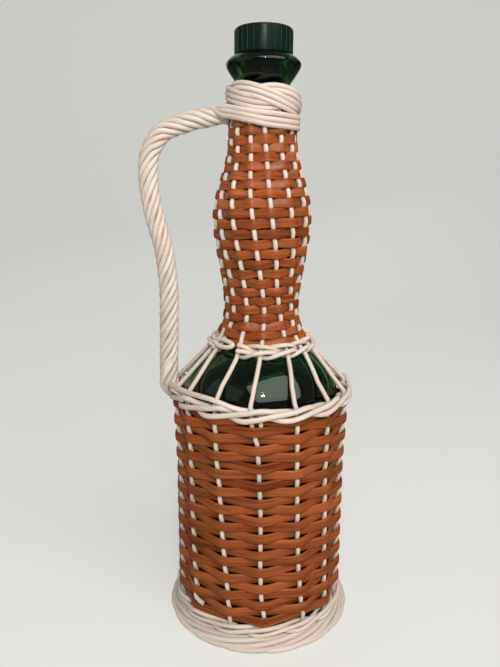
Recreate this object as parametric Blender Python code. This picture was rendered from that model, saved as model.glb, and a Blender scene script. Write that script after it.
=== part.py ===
"""A glass bottle in a woven cane cover, with a twisted cane handle and a ribbed screw cap.

The bottle stands on z = 0 about the Z axis. The front looks along -Y and the handle is on -X.
All sizes are in metres.
"""

import math

import bmesh
import bpy
from mathutils import Vector

TURN = 2 * math.pi
UP = Vector((0, 0, 1))

# Fit between pieces
CLEARANCE = 0.0003

# Glass bottle
BODY_RADIUS = 0.0420
HEEL_RADIUS = 0.0050
WAIST_RADIUS = 0.0153
BULB_RADIUS = 0.0204
THROAT_RADIUS = 0.0115
LIP_RADIUS = 0.0197
FINISH_RADIUS = 0.0133
BORE_RADIUS = 0.0096
GLASS_WALL = 0.0030
GLASS_FLOOR = 0.0050
GLASS_SIDES = 24
SHOULDER_STEPS = 6
NECK_STEPS = 5

# Heights up the bottle, the first from the table and each of the others from the one before
SHOULDER_HEIGHT = 0.1345
SHOULDER_LENGTH = 0.0415
WAIST_LENGTH = 0.0080
BULB_LOW_LENGTH = 0.0480
BULB_TOP_LENGTH = 0.0420
THROAT_LENGTH = 0.0220
LIP_LOW_LENGTH = 0.0148
LIP_TOP_LENGTH = 0.0042
FINISH_LENGTH = 0.0098

# Screw cap and its liner
CAP_THREAD_ROOM = 0.00045
CAP_WALL = 0.0011
CAP_TOP = 0.0017
CAP_CHAMFER = 0.0010
RIB_COUNT = 26
RIB_DEPTH = 0.0004
LINER_THICKNESS = 0.0010

# Canes
STAKE_COUNT = 15
STAKE_RADIUS = 0.0012
BODY_CANE_WIDTH = 0.0047
BODY_CANE_THICKNESS = 0.0018
NECK_CANE_WIDTH = 0.0041
NECK_CANE_THICKNESS = 0.0014
WALE_RADIUS = 0.00125
PAIR_RADIUS = 0.0009
FOOT_WALE_RADIUS = 0.0009
FOOT_CANE_RADIUS = 0.0012
WRAP_RADIUS = 0.0012

# Outline of the cane cover, with the window measured from the glass's shoulder
BODY_FLARE_LENGTH = 0.0395
BODY_FLARE = 0.0023
WINDOW_LOW_RISE = 0.0070
WINDOW_LENGTH = 0.0215
WINDOW_TOP_STANDOFF = 0.0060
STAKE_TOP_RISE = 0.0140
STAKE_FOOT_STUB = 0.0007
NECK_TWIST = math.radians(-23)

# Rows of the weave
BODY_ROW_PITCH = 0.00494
NECK_ROW_PITCH = 0.00467
FOOT_WALE_RISE = 0.0014
WALE_DROP = 0.0035
WALE_RISE = 0.0025
PAIR_DROP = 0.0018
BODY_WEAVER_COUNT = 3
NECK_WEAVER_COUNT = 2
BODY_START_STAKE = 13
NECK_START_STAKE = 14

# Foot and base
FOOT_SPREAD = 0.0036
FOOT_TOP_HEIGHT = 0.0062
FOOT_CANE_HALF_SPAN = 5
BASE_STICK_WIDTH = 0.0032
BASE_STICK_THICKNESS = 0.0023
BASE_STICK_SPACING = 0.0050
BASE_STICKS_EACH_WAY = 3
BASE_CANE_WIDTH = 0.0044
BASE_CANE_THICKNESS = 0.0015
BASE_CANE_PITCH = 0.00575
BASE_RIM = 0.0022

# Collar round the neck, and the handle
WRAP_RISE = 0.0050
WRAP_PITCH = 0.00285
WRAP_TURNS = 3
WRAP_SIDES = 20
KNOT_WIDTH = 0.0028
KNOT_THICKNESS = 0.0020
KNOT_RISE = 0.0042
KNOT_SWELL = 0.0023
KNOT_TURNS = 3
KNOT_BIGHTS = 7
KNOT_STEPS = 12
KNOT_LEAN = math.radians(10)
HANDLE_RADIUS = 0.0051
HANDLE_OVERHANG = 0.0097
HANDLE_SEAT_OVERHANG = 0.0010
HANDLE_TAIL_SPACING = 0.0032
HANDLE_TAIL_DROP = 0.0050
HANDLE_SIDES = 10
HANDLE_STEPS = 2

# Places along the handle as shares of its reach from the collar, and of its height between its seats
HANDLE_SHARES = (
    (0.771, 0.12), (0.768, 0.27), (0.778, 0.39), (0.867, 0.51), (0.969, 0.68), (1.000, 0.81),
    (0.950, 0.88), (0.793, 0.93), (0.588, 0.967), (0.410, 0.992), (0.211, 1.000),
)

# Lip of the glass as shares of its overhang past the finish, and of its depth below and above the rim
LIP_SHARES = (
    (0.00, 1.00), (0.33, 0.98), (0.57, 0.81), (0.79, 0.54), (0.94, 0.26), (1.00, 0.00),
    (0.95, -0.10), (0.83, -0.20), (0.55, -0.38), (0.27, -0.55), (-0.02, -0.73), (-0.20, -0.90),
)

# A twined cane's place at each stake of its round: its lift, outside 1 or inside -1, and its rise
# just before and just after the stake
WALE_SHARES = ((-1, 1, -1), (1, -1, -0.5), (1, 0.5, 1))
PAIR_SHARES = ((-1, 1, -1), (1, -1, 1))

# Where the base's spiral runs in each sixteenth of a turn: over the lower sticks 1, under the upper -1
BASE_LIFT_SHARES = (1, 1, 0, -1, -1, -1, 0, 1)

# Sizes that follow from those above
STAKE_ANGLE = TURN / STAKE_COUNT
FRONT_ANGLE = -TURN / 4
BODY_ROOM = BODY_CANE_THICKNESS / 2 + CLEARANCE + STAKE_RADIUS
NECK_ROOM = NECK_CANE_THICKNESS / 2 + CLEARANCE + STAKE_RADIUS
BODY_STANDOFF = BODY_ROOM + BODY_CANE_THICKNESS / 2 + CLEARANCE
NECK_SLACK = STAKE_RADIUS / 5
NECK_STANDOFF = NECK_ROOM + NECK_SLACK + NECK_CANE_THICKNESS / 2 + CLEARANCE
BASE_TOP = 2 * BASE_STICK_THICKNESS + CLEARANCE
GLASS_BOTTOM = BASE_TOP + CLEARANCE
WAIST_LOW_HEIGHT = SHOULDER_HEIGHT + SHOULDER_LENGTH
WAIST_TOP_HEIGHT = WAIST_LOW_HEIGHT + WAIST_LENGTH
BULB_HEIGHT = WAIST_TOP_HEIGHT + BULB_LOW_LENGTH
THROAT_LOW_HEIGHT = BULB_HEIGHT + BULB_TOP_LENGTH
THROAT_TOP_HEIGHT = THROAT_LOW_HEIGHT + THROAT_LENGTH
LIP_HEIGHT = THROAT_TOP_HEIGHT + LIP_LOW_LENGTH
SEAT_HEIGHT = LIP_HEIGHT + LIP_TOP_LENGTH
MOUTH_HEIGHT = SEAT_HEIGHT + FINISH_LENGTH
BODY_FLARE_HEIGHT = SHOULDER_HEIGHT - BODY_FLARE_LENGTH
WINDOW_LOW_HEIGHT = SHOULDER_HEIGHT + WINDOW_LOW_RISE
WINDOW_TOP_HEIGHT = WINDOW_LOW_HEIGHT + WINDOW_LENGTH
STAKE_TOP_HEIGHT = THROAT_LOW_HEIGHT + STAKE_TOP_RISE
WALE_HEIGHT = WINDOW_LOW_HEIGHT - WALE_DROP
WALE_BAND_TOP = WALE_HEIGHT + WALE_RISE + WALE_RADIUS
PAIR_LOW_HEIGHT = WINDOW_TOP_HEIGHT - PAIR_DROP
FOOT_TOP_RADIUS = BODY_RADIUS + BODY_STANDOFF + STAKE_RADIUS + 2 * CLEARANCE + FOOT_CANE_RADIUS
FOOT_RADIUS = FOOT_TOP_RADIUS + FOOT_SPREAD
FOOT_BORDER_TOP = FOOT_TOP_HEIGHT + FOOT_CANE_RADIUS * math.sqrt(math.pi / 2)
FOOT_WALE_LOW = FOOT_BORDER_TOP + CLEARANCE
FOOT_WALE_HEIGHT = FOOT_WALE_LOW + FOOT_WALE_RADIUS + FOOT_WALE_RISE
STAKE_FOOT_HEIGHT = FOOT_WALE_LOW - STAKE_FOOT_STUB
BASE_STICK_REACH = FOOT_TOP_RADIUS - FOOT_CANE_RADIUS - CLEARANCE
WRAP_LOW_HEIGHT = THROAT_LOW_HEIGHT + WRAP_RISE
CAP_LOW_HEIGHT = SEAT_HEIGHT + CLEARANCE
LINER_LOW_HEIGHT = MOUTH_HEIGHT + CLEARANCE
CAP_CEILING = LINER_LOW_HEIGHT + LINER_THICKNESS + CLEARANCE
CAP_TOP_HEIGHT = CAP_CEILING + CAP_TOP
CAP_INNER_RADIUS = FINISH_RADIUS + CAP_THREAD_ROOM
CAP_RADIUS = CAP_INNER_RADIUS + CAP_WALL + RIB_DEPTH


def finish(name, colour, roughness, transmission=0.0):
    """A material with one colour, as it looks from a step away."""
    made = bpy.data.materials.new(name)
    made.use_nodes = True
    shader = made.node_tree.nodes["Principled BSDF"]
    shader.inputs["Base Color"].default_value = (*colour, 1)
    shader.inputs["Roughness"].default_value = roughness
    shader.inputs["Metallic"].default_value = 0.0
    shader.inputs["Transmission Weight"].default_value = transmission
    made.diffuse_color = (*colour, 1)
    return made


def add_piece(name, shape, colour):
    """Turn a bmesh into a named object with its own finish."""
    bmesh.ops.recalc_face_normals(shape, faces=shape.faces)
    mesh = bpy.data.meshes.new(name)
    shape.to_mesh(mesh)
    shape.free()
    mesh.shade_smooth()
    mesh.set_sharp_from_angle(angle=math.radians(35))
    mesh.materials.append(finish(name + "_finish", *colour))
    piece = bpy.data.objects.new(name, mesh)
    bpy.context.scene.collection.objects.link(piece)
    return piece


def turned_piece(name, outline, sides, colour):
    """Spin an outline of (radius, height) points, which starts and ends on the Z axis."""
    shape = bmesh.new()
    points = [shape.verts.new((radius, 0, height)) for radius, height in outline]
    edges = [shape.edges.new(pair) for pair in zip(points, points[1:])]
    bmesh.ops.spin(
        shape, geom=points + edges, cent=(0, 0, 0), axis=UP, angle=TURN, steps=sides, use_merge=True
    )
    bmesh.ops.remove_doubles(shape, verts=shape.verts, dist=CLEARANCE / 100)
    return add_piece(name, shape, colour)


def flat_section(width, thickness):
    """Corners of a split cane: across its run, and out from the cover."""
    across = width / 2
    out = thickness / 2
    return [(-across, -out), (across, -out), (across, out), (-across, out)]


def round_section(radius, sides):
    """Corners of a whole cane on its real round, one of them facing out."""
    angles = [TURN * (side / sides + 0.25) for side in range(sides)]
    return [(radius * math.cos(angle), radius * math.sin(angle)) for angle in angles]


def square_section(radius):
    """Four corners with the area of a round cane."""
    half = radius * math.sqrt(math.pi) / 2
    return flat_section(2 * half, 2 * half)


def swept_piece(name, path, outs, section, colour, floor=None):
    """Carry a section along a path. Each out is the way that the cane's outer face looks."""
    shape = bmesh.new()
    rings = []
    for index, (place, out) in enumerate(zip(path, outs)):
        ahead = (path[min(index + 1, len(path) - 1)] - place).normalized()
        behind = (place - path[max(index - 1, 0)]).normalized()
        along = (ahead + behind).normalized()
        across = out.cross(along).normalized()
        outward = along.cross(across)
        corners = [place + across * side + outward * rise for side, rise in section]
        if floor is not None:
            corners = [Vector((corner.x, corner.y, max(corner.z, floor))) for corner in corners]
        rings.append([shape.verts.new(corner) for corner in corners])
    for ring, following in zip(rings, rings[1:]):
        for corner in range(len(section)):
            beside = (corner + 1) % len(section)
            shape.faces.new((ring[corner], ring[beside], following[beside], following[corner]))
    shape.faces.new(rings[0])
    shape.faces.new(rings[-1])
    return add_piece(name, shape, colour)


def eased(share):
    """Rise from 0 to 1 with level ends."""
    return (1 - math.cos(math.pi * share)) / 2


def glass_radius(height):
    """Outer radius of the bottle from its body up to the throat."""
    bends = (
        (SHOULDER_HEIGHT, WAIST_LOW_HEIGHT, BODY_RADIUS, WAIST_RADIUS),
        (WAIST_TOP_HEIGHT, BULB_HEIGHT, WAIST_RADIUS, BULB_RADIUS),
        (BULB_HEIGHT, THROAT_LOW_HEIGHT, BULB_RADIUS, THROAT_RADIUS),
    )
    radius = BODY_RADIUS
    for low, top, low_radius, top_radius in bends:
        if height > low:
            share = min(1, (height - low) / (top - low))
            radius = low_radius + (top_radius - low_radius) * eased(share)
    return radius


def spaced(low, top, steps):
    """Evenly spaced values from low to top, both included."""
    return [low + (top - low) * step / steps for step in range(steps + 1)]


def glass_outline():
    """Outer wall from the base to the mouth, as (radius, height)."""
    outline = []
    for step in spaced(0, 1, 3):
        turn = step * TURN / 4
        outline.append((
            BODY_RADIUS - HEEL_RADIUS * (1 - math.sin(turn)),
            GLASS_BOTTOM + HEEL_RADIUS * (1 - math.cos(turn)),
        ))
    heights = spaced(SHOULDER_HEIGHT, WAIST_LOW_HEIGHT, SHOULDER_STEPS)
    heights += spaced(WAIST_TOP_HEIGHT, BULB_HEIGHT, NECK_STEPS)
    heights += spaced(BULB_HEIGHT, THROAT_LOW_HEIGHT, NECK_STEPS)[1:]
    outline += [(glass_radius(height), height) for height in heights]
    outline.append((THROAT_RADIUS, THROAT_TOP_HEIGHT))
    overhang = LIP_RADIUS - FINISH_RADIUS
    for out_share, up_share in reversed(LIP_SHARES):
        depth = SEAT_HEIGHT - LIP_HEIGHT if up_share > 0 else LIP_HEIGHT - THROAT_TOP_HEIGHT
        outline.append((FINISH_RADIUS + overhang * out_share, LIP_HEIGHT + depth * up_share))
    outline.append((FINISH_RADIUS, MOUTH_HEIGHT))
    return outline


def glass_bore():
    """Inner wall from the mouth down to the bottle's floor, one wall inside the outer one."""
    low = GLASS_BOTTOM + GLASS_FLOOR
    heights = spaced(THROAT_LOW_HEIGHT, BULB_HEIGHT, NECK_STEPS - 2)
    heights += spaced(BULB_HEIGHT, WAIST_TOP_HEIGHT, NECK_STEPS - 2)[1:]
    heights += spaced(WAIST_LOW_HEIGHT, SHOULDER_HEIGHT, SHOULDER_STEPS - 2)
    bore = [(BORE_RADIUS, MOUTH_HEIGHT), (BORE_RADIUS, LIP_HEIGHT)]
    bore.append((THROAT_RADIUS - GLASS_WALL, THROAT_TOP_HEIGHT))
    bore += [(glass_radius(height) - GLASS_WALL, height) for height in heights]
    inner_radius = BODY_RADIUS - GLASS_WALL
    bore.append((inner_radius, low + HEEL_RADIUS))
    bore.append((inner_radius - HEEL_RADIUS, low))
    bore.append((0, low))
    return bore


def make_glass_bottle():
    outline = [(0, GLASS_BOTTOM)] + glass_outline() + glass_bore()
    turned_piece("glass_bottle", outline, GLASS_SIDES, GREEN_GLASS)


def make_cap_liner():
    top = LINER_LOW_HEIGHT + LINER_THICKNESS
    radius = CAP_INNER_RADIUS - CLEARANCE
    outline = [(0, LINER_LOW_HEIGHT), (radius, LINER_LOW_HEIGHT), (radius, top), (0, top)]
    turned_piece("cap_liner", outline, RIB_COUNT, LINER_WHITE)


def make_screw_cap():
    """A ribbed cup with a chamfered top edge, made ring by ring from its ceiling outward."""
    crest = CAP_RADIUS
    valley = CAP_RADIUS - RIB_DEPTH
    inside = [CAP_INNER_RADIUS] * 4
    ribbed = [valley, crest, crest, valley]
    chamfer = [CAP_RADIUS - CAP_CHAMFER] * 4
    levels = (
        (inside, CAP_CEILING),
        (inside, CAP_LOW_HEIGHT),
        (ribbed, CAP_LOW_HEIGHT),
        (ribbed, CAP_TOP_HEIGHT - CAP_CHAMFER),
        (chamfer, CAP_TOP_HEIGHT),
    )
    shape = bmesh.new()
    rings = []
    for radii, height in levels:
        ring = []
        for corner in range(4 * RIB_COUNT):
            angle = TURN * corner / (4 * RIB_COUNT)
            radius = radii[corner % 4]
            ring.append(shape.verts.new((radius * math.cos(angle), radius * math.sin(angle), height)))
        rings.append(ring)
    for ring, following in zip(rings, rings[1:]):
        for corner in range(len(ring)):
            beside = (corner + 1) % len(ring)
            shape.faces.new((ring[corner], ring[beside], following[beside], following[corner]))
    shape.faces.new(rings[0])
    shape.faces.new(rings[-1])
    add_piece("screw_cap", shape, CAP_GREEN)


class CoverLine:
    """The outline that every stake follows, measured by the distance along it from the foot."""

    def __init__(self, points):
        self.points = [Vector(point) for point in points]
        self.distances = [0]
        for start, end in zip(self.points, self.points[1:]):
            self.distances.append(self.distances[-1] + (end - start).length)

    def share(self, values, wanted):
        """The segment where a rising list of values passes the wanted one, and how far along it."""
        segment = 0
        while segment < len(values) - 2 and values[segment + 1] < wanted:
            segment += 1
        span = values[segment + 1] - values[segment]
        return segment, (wanted - values[segment]) / span

    def distance_at(self, height):
        segment, part = self.share([point.y for point in self.points], height)
        span = self.distances[segment + 1] - self.distances[segment]
        return self.distances[segment] + part * span

    def spot(self, distance):
        segment, part = self.share(self.distances, distance)
        start, end = self.points[segment:segment + 2]
        return start + (end - start) * part

    def place(self, distance, angle, lift=0.0):
        """A point of the cover lifted off the line, and the way that the cover looks there."""
        spot = self.spot(distance)
        run = (self.spot(distance + STAKE_RADIUS) - self.spot(distance - STAKE_RADIUS)).normalized()
        turned = angle + cover_twist(spot.y)
        outward = Vector((math.cos(turned), math.sin(turned), 0))
        out = outward * run.y - UP * run.x
        return outward * spot.x + UP * spot.y + out * lift, out


def cover_twist(height):
    """How far the stakes have wandered round the neck at a height."""
    share = (height - WAIST_TOP_HEIGHT) / (STAKE_TOP_HEIGHT - WAIST_TOP_HEIGHT)
    return NECK_TWIST * min(1, max(0, share))


def cover_line():
    """Up the body, straight over the shoulder window, in a bend to the waist and up the neck."""
    low_radius = BODY_RADIUS + BODY_STANDOFF
    top_radius = low_radius + BODY_FLARE
    waist_radius = WAIST_RADIUS + NECK_STANDOFF
    window_radius = glass_radius(WINDOW_TOP_HEIGHT) + WINDOW_TOP_STANDOFF
    points = [
        (low_radius, STAKE_FOOT_HEIGHT),
        (low_radius, BODY_FLARE_HEIGHT),
        (top_radius, WINDOW_LOW_HEIGHT),
        (window_radius, WINDOW_TOP_HEIGHT),
    ]
    slope = WINDOW_LENGTH / (top_radius - window_radius)
    window_top = Vector(points[-1])
    corner = Vector((waist_radius, WINDOW_TOP_HEIGHT + slope * (window_radius - waist_radius)))
    waist = Vector((waist_radius, WAIST_TOP_HEIGHT))
    for share in (0.25, 0.5, 0.75, 1):
        points.append(window_top.lerp(corner, share).lerp(corner.lerp(waist, share), share))
    heights = spaced(WAIST_TOP_HEIGHT, BULB_HEIGHT, NECK_STEPS)[1:]
    heights += spaced(BULB_HEIGHT, THROAT_LOW_HEIGHT, NECK_STEPS)[1:]
    points += [(glass_radius(height) + NECK_STANDOFF, height) for height in heights]
    points.append((THROAT_RADIUS + NECK_STANDOFF, STAKE_TOP_HEIGHT))
    return CoverLine(points)


def stake_turn(stake):
    """The angle of a stake at the foot, counted round from the front."""
    return FRONT_ANGLE + stake * STAKE_ANGLE


def make_stakes(line):
    for stake in range(STAKE_COUNT):
        places = [line.place(distance, stake_turn(stake)) for distance in line.distances]
        path = [place for place, out in places]
        outs = [out for place, out in places]
        name = f"stake_{stake + 1:02d}"
        swept_piece(name, path, outs, round_section(STAKE_RADIUS, 4), CREAM_CANE)


def weaver_places(line, first_stake, first, last, start, pitch, outside, inside, bridge, end_gap):
    """Places of a cane that passes stakes outside and inside by turns, from first to last."""
    places = []
    for crossing in range(first, last + 1):
        angle = stake_turn(first_stake + crossing)
        distance = start + pitch * crossing / STAKE_COUNT
        if crossing % 2:
            lift = -inside
            shifts = {first: (end_gap,), last: (-end_gap,)}.get(crossing, (0,))
        else:
            lift = outside
            shifts = (-bridge, bridge) if bridge else (0,)
        radius = line.spot(distance).x
        for shift in shifts:
            turned = shift / radius
            rise = pitch * turned / TURN
            places.append(line.place(distance + rise, angle + turned, lift))
    return places


def make_weavers(line, kind, count, first_stake, low, top, pitch, section, outside, inside, bridge):
    """Cane wound from low to top over the stakes, in lengths that meet behind a stake."""
    width = section[1][0] - section[0][0]
    end_gap = CLEARANCE + section[2][1]
    start = low + width / 2
    crossings = int((top - width / 2 - start) / pitch * STAKE_COUNT)
    joins = [2 * (crossings * weaver // count // 2) + 1 for weaver in range(count)]
    joins.append(crossings - (crossings + 1) % 2)
    for weaver, (first, last) in enumerate(zip(joins, joins[1:])):
        places = weaver_places(
            line, first_stake, first, last, start, pitch, outside, inside, bridge, end_gap
        )
        path = [place for place, out in places]
        outs = [out for place, out in places]
        swept_piece(f"{kind}_weaver_{weaver + 1}", path, outs, section, BROWN_CANE)


def make_band(line, name, middle, shares, radius, rise, hand=1):
    """Canes twined round the stakes: each passes inside one stake and outside the others."""
    lift = STAKE_RADIUS + CLEARANCE + radius
    bridge = (STAKE_RADIUS + radius) / line.spot(middle).x
    end_gap = CLEARANCE / line.spot(middle).x
    for strand in range(len(shares)):
        path = []
        outs = []
        for stake in range(STAKE_COUNT + 1):
            angle = stake_turn(BODY_START_STAKE + stake)
            lift_share, rise_before, rise_after = shares[(stake + strand) % len(shares)]
            turns = [(angle - bridge, rise_before), (angle + bridge, rise_after)]
            half_rise = (rise_before + rise_after) / 2
            if stake == 0:
                turns[0] = (angle + end_gap, half_rise)
            if stake == STAKE_COUNT:
                turns[1] = (angle - end_gap, half_rise)
            for turned, rise_share in turns:
                place, out = line.place(middle + hand * rise * rise_share, turned, lift * lift_share)
                path.append(place)
                outs.append(out)
        swept_piece(f"{name}_{strand + 1}", path, outs, square_section(radius), CREAM_CANE)


def make_foot_canes():
    """Border canes side by side, each of which falls from its stake to the rim on its left."""
    low_height = FOOT_CANE_RADIUS - CLEARANCE / 2
    steps = FOOT_CANE_HALF_SPAN
    for cane in range(STAKE_COUNT):
        path = []
        for step in range(steps + 1):
            share = step / steps
            angle = stake_turn(cane) - step * STAKE_ANGLE / 2
            radius = FOOT_TOP_RADIUS + (FOOT_RADIUS - FOOT_TOP_RADIUS) * share
            height = FOOT_TOP_HEIGHT + (low_height - FOOT_TOP_HEIGHT) * share
            path.append(Vector((radius * math.cos(angle), radius * math.sin(angle), height)))
        outs = [Vector((place.x, place.y, place.xy.length)).normalized() for place in path]
        name = f"foot_cane_{cane + 1:02d}"
        swept_piece(name, path, outs, square_section(FOOT_CANE_RADIUS), CREAM_CANE, floor=0.0)


def make_base_sticks():
    """Two crossed layers of split sticks, flat side down, under the bottle."""
    half = BASE_STICK_THICKNESS / 2
    section = flat_section(BASE_STICK_WIDTH, BASE_STICK_THICKNESS)
    layers = ((Vector((1, 0, 0)), half), (Vector((0, 1, 0)), BASE_TOP - half))
    for layer, (along, height) in enumerate(layers):
        across = UP.cross(along)
        for stick in range(BASE_STICKS_EACH_WAY):
            aside = (stick - (BASE_STICKS_EACH_WAY - 1) / 2) * BASE_STICK_SPACING
            reach = math.sqrt(BASE_STICK_REACH ** 2 - aside ** 2)
            middle = across * aside + UP * height
            path = [middle - along * reach, middle + along * reach]
            name = f"base_stick_{layer * BASE_STICKS_EACH_WAY + stick + 1}"
            swept_piece(name, path, [UP, UP], section, CREAM_CANE)


def make_base_weaver():
    """A spiral that passes over the lower sticks and under the upper ones."""
    steps = 2 * len(BASE_LIFT_SHARES)
    middle = BASE_STICK_THICKNESS + CLEARANCE / 2
    swing = (BASE_CANE_THICKNESS + CLEARANCE) / 2
    spread = BASE_STICK_SPACING * (BASE_STICKS_EACH_WAY - 1) / 2 + BASE_STICK_WIDTH / 2
    inner = spread / math.sin(TURN / steps) + BASE_CANE_WIDTH / 2
    outer = BASE_STICK_REACH - BASE_RIM - BASE_CANE_WIDTH / 2
    path = []
    for step in range(int((outer - inner) / BASE_CANE_PITCH * steps) + 1):
        angle = TURN * step / steps
        radius = inner + BASE_CANE_PITCH * step / steps
        height = middle + swing * BASE_LIFT_SHARES[step % len(BASE_LIFT_SHARES)]
        path.append(Vector((radius * math.cos(angle), radius * math.sin(angle), height)))
    section = flat_section(BASE_CANE_WIDTH, BASE_CANE_THICKNESS)
    swept_piece("base_weaver", path, [UP] * len(path), section, BROWN_CANE)


def wrap_centre_radius():
    """Radius of the wraps' centre line, whose chords still clear the stakes."""
    seat = THROAT_RADIUS + NECK_STANDOFF + STAKE_RADIUS + CLEARANCE + WRAP_RADIUS
    return seat / math.cos(math.pi / WRAP_SIDES)


def least_gap(path, neighbours, diameter):
    """The least distance between turns of a wound cane, less its diameter."""
    gaps = [
        (place - other).length
        for index, place in enumerate(path)
        for other in path[index + neighbours:]
    ]
    return min(gaps) - diameter


def make_collar_wraps():
    """Three close turns under the knot, which fall to the right over the front."""
    radius = wrap_centre_radius()
    path = []
    for step in range(WRAP_TURNS * WRAP_SIDES + 1):
        angle = -TURN * step / WRAP_SIDES
        height = WRAP_LOW_HEIGHT + WRAP_PITCH * step / WRAP_SIDES
        path.append(Vector((radius * math.cos(angle), radius * math.sin(angle), height)))
    outs = [Vector((place.x, place.y, 0)).normalized() for place in path]
    swept_piece("collar_wraps", path, outs, round_section(WRAP_RADIUS, 6), CREAM_CANE)
    gap = least_gap(path, WRAP_SIDES // 2, 2 * WRAP_RADIUS)
    print(f"least gap between the collar's turns: {1000 * gap:.2f} mm")


def make_collar_knot():
    """One cane plaited over and under itself in three turns, with scallops along both edges."""
    steps = KNOT_BIGHTS * KNOT_STEPS
    middle = WRAP_LOW_HEIGHT + WRAP_PITCH * WRAP_TURNS + WRAP_RADIUS + CLEARANCE
    middle += KNOT_WIDTH / 2 + KNOT_RISE
    ring_radius = wrap_centre_radius()
    path = []
    spread = CLEARANCE / ring_radius
    for step in range(steps + 1):
        phase = TURN * step / KNOT_STEPS
        angle = TURN * KNOT_TURNS * step / steps + {0: spread, steps: -spread}.get(step, 0)
        angle -= KNOT_LEAN * math.sin(phase)
        radius = ring_radius + KNOT_SWELL * math.sin(2 * phase)
        height = middle + KNOT_RISE * math.sin(phase)
        path.append(Vector((radius * math.cos(angle), radius * math.sin(angle), height)))
    outs = [Vector((place.x, place.y, 0)).normalized() for place in path]
    section = flat_section(KNOT_WIDTH, KNOT_THICKNESS)
    swept_piece("collar_knot", path, outs, section, CREAM_CANE)


def curve_through(points, steps):
    """A smooth run of points through the given ones."""
    ends = [2 * points[0] - points[1]] + points + [2 * points[-1] - points[-2]]
    smooth = [points[0]]
    for before, start, end, after in zip(ends, ends[1:], ends[2:], ends[3:]):
        for step in range(1, steps + 1):
            share = step / steps
            run = (end - before) / 2
            onward = (after - start) / 2
            bend = 3 * (end - start) - 2 * run - onward
            twist = run + onward - 2 * (end - start)
            smooth.append(start + run * share + bend * share ** 2 + twist * share ** 3)
    return smooth


def band_face(line):
    """Radius of the shoulder band's outer face."""
    lift = STAKE_RADIUS + 2 * WALE_RADIUS + CLEARANCE
    return line.place(line.distance_at(WALE_HEIGHT), 0, lift)[0].x


def make_handle(line):
    """A bundle of canes from the shoulder band up, out and over to the collar."""
    low = WALE_BAND_TOP + CLEARANCE
    top = WRAP_LOW_HEIGHT + WRAP_PITCH * WRAP_TURNS / 2
    collar_face = wrap_centre_radius() + WRAP_RADIUS + CLEARANCE
    reach = band_face(line) + HANDLE_OVERHANG - collar_face
    route = [Vector((-band_face(line) - HANDLE_SEAT_OVERHANG, 0, low))]
    for out_share, up_share in HANDLE_SHARES:
        route.append(Vector((-collar_face - reach * out_share, 0, low + (top - low) * up_share)))
    route.append(Vector((-collar_face, 0, top)))
    path = curve_through(route, HANDLE_STEPS)
    sideways = Vector((0, 1, 0))
    section = round_section(HANDLE_RADIUS, HANDLE_SIDES)
    swept_piece("handle", path, [sideways] * len(path), section, CREAM_CANE)


def make_handle_tails(line):
    """Two ends of the handle's canes, brought down over the outside of the shoulder band."""
    out = band_face(line) + CLEARANCE + WRAP_RADIUS
    low = WALE_HEIGHT - WALE_RISE - WALE_RADIUS
    row_lift = BODY_ROOM + BODY_CANE_THICKNESS / 2 + 2 * CLEARANCE + WRAP_RADIUS
    tucked = line.place(line.distance_at(low - HANDLE_TAIL_DROP), 0, row_lift)[0].x
    for tail, side in enumerate((-1, 1)):
        aside = side * HANDLE_TAIL_SPACING / 2
        path = [
            Vector((-out, aside, WALE_BAND_TOP)),
            Vector((-out, aside, low)),
            Vector((-tucked, aside, low - HANDLE_TAIL_DROP)),
        ]
        outs = [Vector((-1, 0, 0))] * len(path)
        name = f"handle_tail_{tail + 1}"
        swept_piece(name, path, outs, round_section(WRAP_RADIUS, 6), CREAM_CANE)


# Finishes as colour, roughness and transmission
GREEN_GLASS = ((0.010, 0.080, 0.022), 0.05, 0.8)
CAP_GREEN = ((0.010, 0.038, 0.026), 0.35)
LINER_WHITE = ((0.75, 0.75, 0.72), 0.5)
CREAM_CANE = ((0.74, 0.60, 0.45), 0.55)
BROWN_CANE = ((0.28, 0.085, 0.030), 0.45)


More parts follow.
